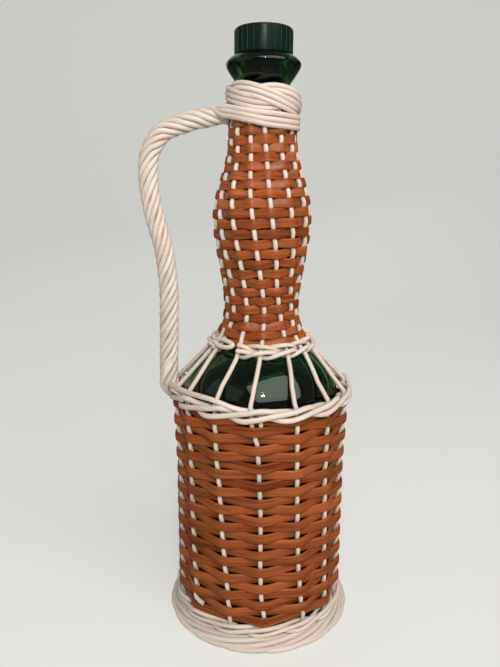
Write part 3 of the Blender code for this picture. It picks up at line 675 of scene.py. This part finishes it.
class CoverLine:
    """The outline that every stake follows, measured by the distance along it from the table."""

    def __init__(self):
        low_radius = BODY_RADIUS + BODY_STANDOFF
        top_radius = low_radius + BODY_FLARE
        waist_radius = WAIST_RADIUS + NECK_STANDOFFS[0]
        slope = (WINDOW_TOP_HEIGHT - WINDOW_LOW_HEIGHT) / (top_radius - WINDOW_TOP_RADIUS)
        corner_height = WINDOW_TOP_HEIGHT + slope * (WINDOW_TOP_RADIUS - waist_radius)
        window_top = np.array((WINDOW_TOP_RADIUS, WINDOW_TOP_HEIGHT))
        corner = np.array((waist_radius, corner_height))
        waist = np.array((waist_radius, WAIST_TOP_HEIGHT))
        points = [(low_radius, 0), (low_radius, BODY_FLARE_HEIGHT),
                  (top_radius, WINDOW_LOW_HEIGHT), tuple(window_top)]
        for share in np.linspace(0, 1, 13)[1:]:
            low = window_top + (corner - window_top) * share
            top = corner + (waist - corner) * share
            points.append(tuple(low + (top - low) * share))
        neck_heights = (WAIST_TOP_HEIGHT, BULB_HEIGHT, THROAT_LOW_HEIGHT)
        for height in np.linspace(WAIST_TOP_HEIGHT, THROAT_LOW_HEIGHT, 61)[1:]:
            standoff = np.interp(height, neck_heights, NECK_STANDOFFS)
            points.append((float(glass_radius(height) + standoff), height))
        points.append((THROAT_RADIUS + NECK_STANDOFFS[1], STAKE_TOP_HEIGHT))
        points = np.array(points)
        self.distances = travelled(points)
        self.radii = points[:, 0]
        self.heights = points[:, 1]
        self.length = self.distances[-1]

    def distance_at(self, height):
        return np.interp(height, self.heights, self.distances)

    def spot(self, distance):
        return (np.interp(distance, self.distances, self.radii),
                np.interp(distance, self.distances, self.heights))

    def place(self, distance, stake, lift):
        """Points lifted off the cover at a stake's number, and the way that it looks there."""
        radius, height = self.spot(distance)
        before = self.spot(distance - SLOPE_REACH)
        after = self.spot(distance + SLOPE_REACH)
        run_out = after[0] - before[0]
        run_up = after[1] - before[1]
        size = np.hypot(run_out, run_up)
        run_out, run_up = run_out / size, run_up / size
        share = (height - WAIST_TOP_HEIGHT) / (STAKE_TOP_HEIGHT - WAIST_TOP_HEIGHT)
        twist = NECK_TWIST * np.clip(share, 0, 1)
        turned = stake_turn(stake) + twist + stake_lean(stake, height)
        across = np.stack([np.cos(turned), np.sin(turned)], axis=-1)
        out = np.concatenate([across * run_up[..., None], -run_out[..., None]], axis=-1)
        point = np.concatenate([across * radius[..., None], height[..., None]], axis=-1)
        return point + out * np.asarray(lift)[..., None], out


def stake_turn(stake):
    return FRONT_ANGLE + stake * STAKE_ANGLE


def stake_lean(stake, height):
    """How far a stake near the front stands aside from its even place at a height."""
    near = (stake + LEAN_BACK_STAKE) % STAKE_COUNT - LEAN_BACK_STAKE
    lean = 0
    for middle, degrees in LEANS.items():
        share = np.clip(1 - np.abs(near - middle), 0, 1)
        lean += np.interp(height / MM, LEAN_HEIGHTS, degrees) * share
    return np.radians(lean)


def wobble(values, seed, size, pace=1.0):
    """Unevenness along a cane: a slow and a quick wave that the seed puts out of step."""
    values = values * pace
    phase = WOBBLE_PHASE * seed
    slow = np.sin(WOBBLE_SLOW * values + phase)
    return size * (slow + WOBBLE_QUICK_SHARE * np.sin(WOBBLE_QUICK * values + 2 * phase))


def ring(radius, angle, height):
    """Points at a radius and height round the axis."""
    radius, angle, height = np.broadcast_arrays(radius, angle, height)
    return np.stack([radius * np.cos(angle), radius * np.sin(angle), height], axis=-1)


def facing(way, path):
    return np.tile(way, (len(path), 1))


def outward(points):
    flat = points * np.array((1, 1, 0))
    return flat / np.linalg.norm(flat, axis=1)[:, None]


def curve_through(points, steps):
    """A smooth run of points through the given ones."""
    points = list(np.array(points, float))
    ends = [2 * points[0] - points[1]] + points + [2 * points[-1] - points[-2]]
    smooth = [points[0]]
    for before, start, end, after in zip(ends, ends[1:], ends[2:], ends[3:]):
        for share in np.linspace(0, 1, steps + 1)[1:]:
            run = (end - before) / 2
            onward = (after - start) / 2
            bend = 3 * (end - start) - 2 * run - onward
            twist = run + onward - 2 * (end - start)
            smooth.append(start + run * share + bend * share ** 2 + twist * share ** 3)
    return np.array(smooth)


# Stakes and weave

def body_row(crossing):
    """Height of the body's weave at a crossing, counted from its first one."""
    return BODY_ROW_LOW + BODY_ROW_PITCH * crossing / STAKE_COUNT


def neck_sway(distance):
    return NECK_ROW_SWAY * np.sin(TURN * (distance - NECK_ROW_LOW) / NECK_ROW_SWAY_LENGTH)


def neck_row(crossing):
    """Distance up the cover of the neck's weave, whose rows are closest at the waist."""
    even = NECK_ROW_LOW + NECK_ROW_PITCH * crossing / STAKE_COUNT
    return even - neck_sway(even - neck_sway(even))


def chord_dip(line, distance, stake):
    """How far a straight run from stake to stake lies inside the cover's round."""
    depth = line.spot(distance)[0] * (1 - math.cos(STAKE_ANGLE / 2))
    return depth * np.abs(np.sin(np.pi * stake)) ** CHORD_ROUND


def dress_stakes(line):
    distance = np.linspace(STAKE_FOOT_HEIGHT, line.length, STAKE_STEPS)
    height = line.spot(distance)[1]
    body_count = (height - BODY_ROW_LOW) / BODY_ROW_PITCH * STAKE_COUNT
    neck_count = (distance + neck_sway(distance) - NECK_ROW_LOW) / NECK_ROW_PITCH * STAKE_COUNT
    for stake in range(STAKE_COUNT):
        lift = np.zeros(len(distance))
        for count, first, (low, top) in ((body_count, BODY_FIRST_STAKE, BODY_WEAVE_HEIGHTS),
                                         (neck_count, NECK_FIRST_STAKE, NECK_WEAVE_HEIGHTS)):
            crossing = stake - first
            row = (count - crossing) / STAKE_COUNT
            inside = (height > low) & (height < top)
            lift = np.where(inside, -STAKE_GIVE * np.cos(np.pi * (crossing + row)), lift)
        sway = wobble(distance, stake, UNEVEN_STAKE, PACE_STAKE)
        node = f"stake_{stake + 1:02d}"
        strands = [line.place(distance, stake + sway, lift)] + stray_canes(line, node)
        dress_round(f"stake_cane_{stake + 1:02d}", strands, STAKE_RADIUS, node)


def stray_canes(line, node):
    """The stray cane of a node, if it has one."""
    if node not in STRAY_CANES:
        return []
    keys, lifts, swell, steps = STRAY_CANES[node]
    keys = curve_through(keys, steps)
    lift = np.linspace(*lifts, len(keys)) if lifts else keys[:, 2] * MM
    points, outs = line.place(line.distance_at(keys[:, 1] * MM), keys[:, 0], lift)
    return [(points, outs, np.full(len(keys), swell))]


def dress_weavers(line, kind, joins, first_stake, row, width, thickness, room):
    """Canes that climb over and under the stakes, bulging outside and tucking in behind."""
    for weaver, (first, last) in enumerate(zip(joins, joins[1:])):
        crossing = np.linspace(first, last, int((last - first) * WEAVER_STEPS) + 1)
        wave = np.where(crossing < 1, -1, np.cos(np.pi * crossing))
        crest = CREST_FLATNESS * np.cos(3 * np.pi * crossing)
        lift = room * (wave + crest) / (1 + CREST_FLATNESS)
        lift += wobble(crossing, weaver + 3, UNEVEN_LIFT)
        distance = (row(crossing) + wobble(crossing, weaver, UNEVEN_PLACE)
                    + wobble(crossing, weaver + 5, UNEVEN_ROW, PACE_ROW))
        if kind == "body":
            distance = line.distance_at(distance)
        lift -= chord_dip(line, distance, crossing)
        points, outs = line.place(distance, first_stake + crossing, lift)
        swell = 1 + CREST_SWELL * wave
        for pace in PACE_SWELL:
            swell += wobble(crossing, weaver, UNEVEN_SWELL, pace)
        piece = canes(
            f"{kind}_cane_{weaver + 1}", [(points, outs, swell)], width, thickness, BROWN,
            FLAT_CANE_CORNER, FLAT_CANE_SIDES,
        )
        worn(piece, f"{kind}_weaver_{weaver + 1}")


# Bands, foot and base

def twined(line, middle, strand, strands, radius, rise, hand, first, tilt):
    """A cane that passes inside one stake and slants up over the outside of the rest."""
    steps = (BAND_LAST_STAKE - first) * TWINE_STEPS
    stake = np.linspace(first, BAND_LAST_STAKE, steps + 1)
    turn = (stake + strand) % strands
    near = np.minimum(turn, strands - turn)
    lift = (STAKE_RADIUS + radius) * (1 - 2 * eased(1 - near / TWINE_TUCK))
    lift -= TWINE_PULL * chord_dip(line, np.full(len(stake), middle), stake)
    bend = TWINE_BENDS[strands]
    height = np.interp(turn, (0, bend, strands - bend, strands), (0, -1, 1, 0))
    height = smoothed(np.pad(height, TWINE_SMOOTHING // 2, mode="edge"), TWINE_SMOOTHING)
    distance = middle + hand * rise * height + wobble(stake, strand + 2, UNEVEN_PLACE)
    distance += tilt * np.sin(stake * STAKE_ANGLE) ** 2
    return line.place(distance, stake, lift)


def dress_bands(line):
    for name, height, step, count, radius, rise, hand, first, tilt in BANDS:
        middle = line.distance_at(height) + step
        for strand in range(count):
            node = f"{name}_{strand + 1}"
            strands = [twined(line, middle, strand, count, radius, rise, hand, first, tilt)]
            strands += stray_canes(line, node)
            dress_round(f"{name}_cane_{strand + 1}", strands, radius, node)


def dress_foot():
    """Border canes side by side, each of which falls from its stake to the rim on its left."""
    low = FOOT_CANE_RADIUS - FOOT_PRESS
    share = np.linspace(-FOOT_TUCK_SHARE, 1, FOOT_STEPS + 1)
    fall = np.linspace(*FOOT_FALL_RANGE, FOOT_STEPS + FOOT_SMOOTHING)
    fall = smoothed(np.clip(fall / FOOT_FALL_SHARE, 0, 1), FOOT_SMOOTHING)
    tucked = np.clip(-share / FOOT_TUCK_SHARE, 0, 1)
    ended = eased((share - 1 + FOOT_END_SHARE) / FOOT_END_SHARE)
    radius = FOOT_TOP_RADIUS + (FOOT_RADIUS - FOOT_TOP_RADIUS) * fall
    radius = radius - FOOT_TUCK_DEPTH * tucked - FOOT_END_DEPTH * ended
    even = low + (FOOT_TOP_HEIGHT - low) * (1 - fall) - FOOT_TUCK_DROP * tucked
    for cane in range(STAKE_COUNT):
        angle = stake_turn(cane) - share * FOOT_CANE_SPAN * STAKE_ANGLE + FOOT_CANE_TURN
        height = np.maximum(even + wobble(share, cane, UNEVEN_PLACE, PACE_FOOT), low)
        points = ring(radius, angle, height)
        number = f"{cane + 1:02d}"
        strands = [(points, outward(points))]
        piece = round_canes(f"border_cane_{number}", strands, FOOT_CANE_RADIUS)
        for corner in piece.data.vertices:
            corner.co.z = max(corner.co.z, 0)
        worn(piece, f"foot_cane_{number}")


def dress_base():
    """Two crossed layers of sticks, and a flat cane wound over and under them."""
    half = BASE_STICK_THICKNESS / 2
    top = 2 * BASE_STICK_THICKNESS + BASE_CLEARANCE
    for stick in range(2 * BASE_STICKS_EACH_WAY):
        layer, place = divmod(stick, BASE_STICKS_EACH_WAY)
        aside = (place - 1) * BASE_STICK_SPACING
        reach = math.sqrt(BASE_STICK_REACH ** 2 - aside ** 2)
        run = np.linspace(-reach, reach, 41)
        height = np.full(len(run), half if layer == 0 else top - half)
        across = np.full(len(run), aside)
        points = np.stack([run, across, height] if layer == 0 else [-across, run, height], axis=-1)
        piece = canes(
            f"base_stick_cane_{stick + 1}", [(points, facing(UP, run))],
            BASE_STICK_WIDTH, BASE_STICK_THICKNESS, CREAM, BASE_STICK_CORNER,
        )
        worn(piece, f"base_stick_{stick + 1}")

    steps = 2 * len(BASE_LIFT_SHARES)
    spread = BASE_STICK_SPACING + BASE_STICK_WIDTH / 2
    inner = spread / math.sin(TURN / steps) + BASE_CANE_WIDTH / 2
    keys = np.arange(BASE_CANE_TURNS * steps + 1)
    lifts = np.array(BASE_LIFT_SHARES, float)[keys % len(BASE_LIFT_SHARES)]
    fine = np.linspace(0, keys[-1], keys[-1] * 6 + 1)
    middle = BASE_STICK_THICKNESS + BASE_CLEARANCE / 2
    swing = (BASE_CANE_THICKNESS + BASE_CLEARANCE) / 2
    height = middle + swing * np.interp(fine, keys, lifts)
    points = ring(inner + BASE_CANE_PITCH * fine / steps, TURN * fine / steps, height)
    piece = canes(
        "base_spiral_cane", [(points, facing(UP, fine))],
        BASE_CANE_WIDTH, BASE_CANE_THICKNESS, BROWN, FLAT_CANE_CORNER, BASE_CANE_SIDES,
    )
    worn(piece, "base_weaver")


# Handle and collar

def handle_strands():
    """The handle's axis and side, its canes laid right-handed, and where some leave it."""
    path = curve_through([(-out, 0, up) for out, up in HANDLE_ROUTE], 16)
    along = travelled(path)
    fine = np.linspace(0, along[-1], HANDLE_STEPS)
    path = np.stack([np.interp(fine, along, path[:, axis]) for axis in range(3)], axis=-1)
    run = np.gradient(path, axis=0)
    run = run / np.linalg.norm(run, axis=1)[:, None]
    side = facing((0.0, 1.0, 0.0), path)
    away = np.cross(run, side)
    foot = np.clip(1 - fine / HANDLE_FOOT_LENGTH, 0, 1) ** 2
    top = eased((fine - fine[-1] + HANDLE_TOP_LENGTH) / HANDLE_TOP_LENGTH)
    slim = 1 - HANDLE_FOOT_TAPER * foot - HANDLE_TOP_TAPER * top
    reach = (HANDLE_RADIUS - HANDLE_STRAND_RADIUS) * slim
    strands = []
    for strand in range(HANDLE_STRANDS):
        turn = TURN * strand / HANDLE_STRANDS + TURN * fine / HANDLE_LAY
        turn += wobble(fine, strand, UNEVEN_LAY, PACE_LAY)
        out = away * np.cos(turn)[:, None] + side * np.sin(turn)[:, None]
        strands.append((path + out * reach[:, None], out))

    leave = int(np.argmax(path[:, 0] > HANDLE_SPLIT_X))
    upmost = sorted(
        range(HANDLE_STRANDS), key=lambda one: -strands[one][1][leave] @ np.array(HANDLE_SPLIT_SIDE)
    )
    leaving = sorted(upmost[:len(WRAP_HEIGHTS)], key=lambda one: strands[one][0][leave][1])
    return path, side, strands, leave, leaving


def dress_handle():
    """The handle's canes round their core. Those that go on as the wraps end early."""
    path, side, strands, leave, leaving = handle_strands()
    laid = []
    for index, (points, outs) in enumerate(strands):
        end = leave - HANDLE_CUT_STEPS if index in leaving else len(points)
        laid.append((points[:end], outs[:end]))
    laid.append((path[2:-2], side[2:-2], np.full(len(path) - 4, HANDLE_CORE_SWELL)))
    dress_round("handle_canes", laid, HANDLE_STRAND_RADIUS, "handle")


def dress_handle_tails():
    """Ends of the handle's canes, brought down outside the shoulder band."""
    foot = HANDLE_TAIL[-1][2]
    for tail, hand in enumerate((1, -1)):
        strands = []
        for shift in HANDLE_TAIL_SHIFTS:
            points = curve_through([
                (out, hand * (aside - HANDLE_TAIL_ASIDE + HANDLE_TAIL_SPREAD * shift),
                 up + shift * (up - foot) / HANDLE_TAIL_LENGTH)
                for out, aside, up in HANDLE_TAIL
            ], 8)
            strands.append((points, facing((-1.0, 0.0, 0.0), points)))
        name = f"handle_tail_cane_{tail + 1}"
        dress_round(name, strands, HANDLE_STRAND_RADIUS, f"handle_tail_{tail + 1}")


def dress_wraps():
    """Three of the handle's canes, which fall to the right over the front and close behind it."""
    strands, leave, leaving = handle_strands()[2:]
    radius = WRAP_RING_RADIUS + np.array(WRAP_STANDOFFS)
    wraps = []
    for index, heights in zip(leaving, WRAP_HEIGHTS):
        start = list(strands[index][0][leave - WRAP_START_STEPS:leave:WRAP_START_STRIDE])
        rest = list(ring(radius, np.radians(WRAP_TURNS), np.array(heights) * MM))
        bridge = (start[-1] + rest[0]) / 2 + (0, 0, WRAP_BRIDGE_RISE)
        smooth = curve_through(start + [bridge] + rest, 8)
        swell = np.interp(np.arange(len(smooth)), WRAP_SWELL_STEPS, WRAP_SWELLS)
        wraps.append((smooth, outward(smooth), swell))
    dress_round("collar_wrap_canes", wraps, WRAP_RADIUS, "collar_wraps")


def dress_knot():
    """A plait of three canes side by side, whose falling runs lie over its rising ones."""
    phase = np.linspace(0, TURN * KNOT_BIGHTS, KNOT_BIGHTS * KNOT_BIGHT_STEPS + 1)
    angle = phase * KNOT_TURNS / KNOT_BIGHTS - KNOT_LEAN * np.sin(phase) + KNOT_START
    radius = KNOT_RADIUS - KNOT_SWELL * np.cos(phase)
    height = KNOT_HEIGHT + KNOT_RISE * np.sin(phase) - KNOT_TILT * np.cos(angle)
    middle = ring(radius, angle, height)
    run = np.gradient(middle, axis=0)
    run[0] = run[-1] = run[0] + run[-1]
    run = run / np.linalg.norm(run, axis=1)[:, None]
    outs = outward(middle)
    across = np.cross(outs, run)
    strands = []
    for lane in (-1, 0, 1):
        shift = lane * KNOT_LANE_SPACING * KNOT_CANE_RADIUS
        rise = wobble(phase, lane + 4, UNEVEN_KNOT) - KNOT_LANE_DROP * abs(lane)
        strands.append((middle + across * shift + outs * rise[:, None], outs))
    dress_round("collar_plait", strands, KNOT_CANE_RADIUS, "collar_knot")


# Glass and cap

def quarter(steps, start=0.0, end=TURN / 4):
    """Sines and cosines of the turns through a rounded corner."""
    return [(math.sin(turn), math.cos(turn)) for turn in np.linspace(start, end, steps)]


def glass_profile():
    """Outline of the glass from the middle of its base, over the mouth and down to its floor."""
    floor = GLASS_BOTTOM + GLASS_FLOOR
    inner = BODY_RADIUS - GLASS_WALL
    outline = [(0, GLASS_BOTTOM)]
    outline += [(BODY_RADIUS - HEEL_RADIUS * (1 - sine), GLASS_BOTTOM + HEEL_RADIUS * (1 - cosine))
                for sine, cosine in quarter(9)]
    outline += [(BODY_RADIUS, height)
                for height in np.linspace(HEEL_TOP_HEIGHT, SHOULDER_HEIGHT, 12)]
    outline += [(float(glass_radius(height)), height)
                for height in np.linspace(SHOULDER_HEIGHT, THROAT_LOW_HEIGHT, 110)[1:]]
    overhang = LIP_RADIUS - FINISH_RADIUS
    lip = [(THROAT_RADIUS, THROAT_LOW_HEIGHT + LIP_START_RISE), (THROAT_RADIUS, THROAT_TOP_HEIGHT)]
    for out_share, up_share in LIP_SHARES:
        depth = SEAT_HEIGHT - LIP_HEIGHT if up_share > 0 else LIP_HEIGHT - THROAT_TOP_HEIGHT
        lip.append((FINISH_RADIUS + overhang * out_share, LIP_HEIGHT + depth * up_share))
    outline += [tuple(point) for point in curve_through(lip, 4)]
    outline += [(FINISH_RADIUS, height)
                for height in np.linspace(SEAT_HEIGHT, MOUTH_HEIGHT - RIM_ROUND, 40)[1:]]
    rim = (FINISH_RADIUS + BORE_RADIUS) / 2
    half = (FINISH_RADIUS - BORE_RADIUS) / 2
    outline += [(rim + half * cosine, MOUTH_HEIGHT - RIM_ROUND + RIM_ROUND * sine)
                for sine, cosine in quarter(9, 0, TURN / 2)[1:-1]]
    outline += [(BORE_RADIUS, MOUTH_HEIGHT - RIM_ROUND), (BORE_RADIUS, LIP_HEIGHT),
                (THROAT_RADIUS - GLASS_WALL, THROAT_TOP_HEIGHT)]
    outline += [(float(glass_radius(height)) - GLASS_WALL, height)
                for height in np.linspace(THROAT_LOW_HEIGHT, SHOULDER_HEIGHT, 90)]
    outline += [(inner - HEEL_RADIUS * (1 - sine), floor + HEEL_RADIUS * (1 - cosine))
                for sine, cosine in quarter(7, TURN / 4, 0)]
    return outline + [(0, floor)]


def turned_mesh(name, outline, sides, relief=None):
    """Turn an outline from pole to pole. relief(radius, angles, height) may lift its points."""
    angles = np.arange(sides) * TURN / sides
    points = [(0, 0, outline[0][1])]
    for radius, height in outline[1:-1]:
        lifted = radius if relief is None else radius + relief(radius, angles, height)
        points += ring(lifted, angles, height).tolist()
    points.append((0, 0, outline[-1][1]))
    faces = []
    rows = len(outline) - 2
    for side in range(sides):
        beside = (side + 1) % sides
        faces.append((0, 1 + beside, 1 + side))
        for row in range(rows - 1):
            low, top = 1 + row * sides, 1 + (row + 1) * sides
            faces.append((low + side, low + beside, top + beside, top + side))
        low = 1 + (rows - 1) * sides
        faces.append((low + side, low + beside, len(points) - 1))
    mesh = bpy.data.meshes.new(name)
    mesh.from_pydata(points, [], faces)
    mesh.shade_smooth()
    mesh.set_sharp_from_angle(angle=TURNED_CREASE)
    return new_object(name, mesh)


def thread_relief(radius, angles, height):
    """A right-handed thread on the glass finish."""
    low, top = SEAT_HEIGHT + 2 * THREAD_FADE, MOUTH_HEIGHT - 2 * THREAD_FADE
    if abs(radius - FINISH_RADIUS) > 1e-6 or height < low or height > top:
        return np.zeros(len(angles))
    phase = (height - low) / THREAD_PITCH - angles / TURN
    ridge = np.clip(np.cos(TURN * phase) * THREAD_SLOPE - THREAD_ROOT, 0, 1)
    ends = np.clip(min(height - low, top - height) / THREAD_FADE, 0, 1)
    return THREAD_RISE * ridge * ends


def dress_glass():
    piece = turned_mesh("glass", glass_profile(), GLASS_SIDES, thread_relief)
    piece.data.materials.append(GREEN_GLASS)
    worn(piece, "glass_bottle")


def build_rib_tree():
    """Geometry nodes that stand ribs with round ends in a ring."""
    tree, keys, given = new_group("ribs round a cap", "GeometryNodeTree", {
        "Shell": "Geometry", "Rib Count": "Int", "Ring Radius": "Float", "Rib Radius": "Float",
        "Low Height": "Float", "Top Height": "Float", "Finish": "Material",
    }, {"Cap": "Geometry"})
    radius = given["Rib Radius"]
    low = wired(tree, "ShaderNodeCombineXYZ", {"Z": given["Low Height"]})
    top = wired(tree, "ShaderNodeCombineXYZ", {"Z": given["Top Height"]})
    spine = wired(tree, "GeometryNodeCurvePrimitiveLine", {"Start": low, "End": top})
    section = wired(
        tree, "GeometryNodeCurvePrimitiveCircle", {"Resolution": 12, "Radius": radius}
    )
    rib = wired(
        tree, "GeometryNodeCurveToMesh",
        {"Curve": spine, "Profile Curve": section, "Fill Caps": True},
    )
    ball = wired(
        tree, "GeometryNodeMeshUVSphere", {"Segments": 12, "Rings": 8, "Radius": radius}
    )
    ball = wired(tree, "GeometryNodeTransform", {"Geometry": ball, "Translation": top})
    rounded = placed(tree, "GeometryNodeJoinGeometry")
    for piece in (rib, ball):
        tree.links.new(piece, rounded.inputs[0])
    circle = wired(
        tree, "GeometryNodeMeshCircle",
        {"Vertices": given["Rib Count"], "Radius": given["Ring Radius"]},
    )
    ribs = wired(
        tree, "GeometryNodeInstanceOnPoints", {"Points": circle, "Instance": rounded.outputs[0]}
    )
    ribs = wired(tree, "GeometryNodeSetShadeSmooth", {"Geometry": ribs})
    whole = placed(tree, "GeometryNodeJoinGeometry")
    for piece in (given["Shell"], ribs):
        tree.links.new(piece, whole.inputs[0])
    put_out(tree, "Cap", whole.outputs[0], given["Finish"])
    return tree, keys


def dress_cap():
    """A cup with a rounded chamfer, and ribs that end in dots under it."""
    wall = CAP_RADIUS - RIB_DEPTH
    inner = CAP_INNER_RADIUS
    chamfer_height = CAP_TOP_HEIGHT - CAP_CHAMFER
    outline = [
        (0, CAP_CEILING), (inner * 0.6, CAP_CEILING), (inner, CAP_CEILING),
        (inner, CAP_CEILING - CAP_EDGE), (inner, CAP_LOW_HEIGHT + CAP_EDGE),
        (inner, CAP_LOW_HEIGHT), (wall - CAP_RIM, CAP_LOW_HEIGHT),
    ]
    outline += [(wall - CAP_EDGE + CAP_EDGE * sine, CAP_LOW_HEIGHT + CAP_EDGE * (1 - cosine))
                for sine, cosine in quarter(5)]
    outline.append((wall, chamfer_height - 2 * CAP_EDGE))
    outline += [(wall - CAP_CHAMFER * (1 - cosine), CAP_TOP_HEIGHT - CAP_CHAMFER * (1 - sine))
                for sine, cosine in quarter(9)]
    outline += [(wall - CAP_CHAMFER - CAP_TOP_RIM, CAP_TOP_HEIGHT), (wall * 0.4, CAP_TOP_HEIGHT),
                (0, CAP_TOP_HEIGHT)]
    shell = turned_mesh("cap_shell", outline, 4 * RIB_COUNT)
    shell.data.flip_normals()
    tree, keys = build_rib_tree()
    piece = settled(shell, "cap_with_ribs", tree, keys, {
        "Rib Count": RIB_COUNT, "Ring Radius": CAP_RADIUS - RIB_RADIUS, "Rib Radius": RIB_RADIUS,
        "Low Height": CAP_LOW_HEIGHT + RIB_LOW_GAP, "Top Height": chamfer_height - RIB_TOP_GAP,
        "Finish": CAP_PLASTIC,
    })
    worn(piece, "screw_cap", body="cap")


# Floor, lamps and camera

def show_pale(tree, output, own, pale, share):
    """Mix a pale glow into a surface or the sky, for the camera only."""
    seen = placed(tree, "ShaderNodeLightPath").outputs["Is Camera Ray"]
    seen = maths(tree, "MULTIPLY", seen, share)
    both = wired(tree, "ShaderNodeMixShader", {0: seen, 1: own, 2: pale})
    tree.links.new(both, tree.nodes[output].inputs["Surface"])


def dress_floor():
    """A floor that bends up behind. It is palest for the camera, and dark in mirrors."""
    made, tree, shader = speckled(
        "pale_floor", (0.70, 0.70, 0.66), (0.73, 0.73, 0.69),
        scale=6, rough=0.85, spread=0.03, bump=0.0,
    )
    mirrored = placed(tree, "ShaderNodeLightPath").outputs["Is Glossy Ray"]
    own = shader.inputs["Base Color"].links[0].from_socket
    filled(tree, shader, {"Base Color": mixed(tree, mirrored, own, MIRRORED_FLOOR)})
    pale = wired(tree, "ShaderNodeEmission", {"Color": PALE, "Strength": 1.0})
    show_pale(tree, "Material Output", shader.outputs[0], pale, FLOOR_GLOW_SHARE)

    rows = [(-FLOOR_HALF, 0.0)]
    rows += [(FLOOR_BACK + FLOOR_BEND * sine, FLOOR_BEND * (1 - cosine))
             for sine, cosine in quarter(17)]
    rows.append((FLOOR_BACK + FLOOR_BEND, FLOOR_RISE))
    points = [(side * FLOOR_HALF, depth, height) for depth, height in rows for side in (-1, 1)]
    faces = [(2 * row, 2 * row + 1, 2 * row + 3, 2 * row + 2) for row in range(len(rows) - 1)]
    mesh = bpy.data.meshes.new("floor")
    mesh.from_pydata(points, [], faces)
    mesh.shade_smooth()
    mesh.materials.append(made)
    new_object("floor", mesh)


def light_scene():
    """A dim sky that the camera sees pale, and four lamps."""
    world = bpy.data.worlds.new("studio")
    bpy.context.scene.world = world
    world.use_nodes = True
    tree = world.node_tree
    dim = filled(tree, tree.nodes["Background"], {
        "Color": SKY_LIGHT, "Strength": SKY_LIGHT_STRENGTH,
    }).outputs[0]
    pale = wired(tree, "ShaderNodeBackground", {"Color": PALE, "Strength": SKY_PALE_STRENGTH})
    show_pale(tree, "World Output", dim, pale, 1)
    for name, place, aim, size, power, colour in LAMPS:
        lamp = bpy.data.lights.new(name, "AREA")
        lamp.shape = "RECTANGLE"
        lamp.size, lamp.size_y = size
        lamp.energy = power
        lamp.color = colour
        made = new_object(name, lamp)
        made.location = place
        look = Vector(aim) - Vector(place)
        made.rotation_euler = look.to_track_quat("-Z", "Y").to_euler()


def place_camera():
    camera = bpy.data.cameras.new("photo view")
    camera.sensor_width = CAMERA_SENSOR
    camera.lens = CAMERA_LENS
    camera.clip_start = CAMERA_CLIP
    made = new_object("photo view", camera)
    made.location = CAMERA_PLACE
    look = Vector((0, math.cos(CAMERA_FALL), -math.sin(CAMERA_FALL)))
    made.rotation_mode = "QUATERNION"
    made.rotation_quaternion = Quaternion(look, CAMERA_ROLL) @ look.to_track_quat("-Z", "Y")
    bpy.context.scene.camera = made


CANE_TREE = build_cane_tree()
FIBRE = fibre_group()
CREAM = cane_finish(
    "cream_cane", (0.775, 0.68, 0.60), (0.485, 0.375, 0.293),
    grain=0.9, mottle=0.8, polish=0.48, bump=0.35, shine=0.35,
)
BROWN = cane_finish(
    "brown_cane", (0.40, 0.105, 0.024), (0.105, 0.016, 0.002),
    grain=1.3, mottle=1.2, polish=0.34, bump=0.5, shine=0.22,
)
GREEN_GLASS = glass_finish()
CAP_PLASTIC = cap_finish()

LINE = CoverLine()
dress_glass()
dress_cap()
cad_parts["cap_liner"].material_slots[0].material = liner_finish()
dress_stakes(LINE)
dress_weavers(LINE, "body", BODY_JOINS, BODY_FIRST_STAKE, body_row,
              BODY_CANE_WIDTH, BODY_CANE_THICKNESS, BODY_ROOM)
dress_weavers(LINE, "neck", NECK_JOINS, NECK_FIRST_STAKE, neck_row,
              NECK_CANE_WIDTH, NECK_CANE_THICKNESS, NECK_ROOM)
dress_bands(LINE)
dress_foot()
dress_base()
dress_wraps()
dress_knot()
dress_handle()
dress_handle_tails()

dress_floor()
light_scene()
place_camera()
bpy.context.scene.view_settings.view_transform = "Standard"
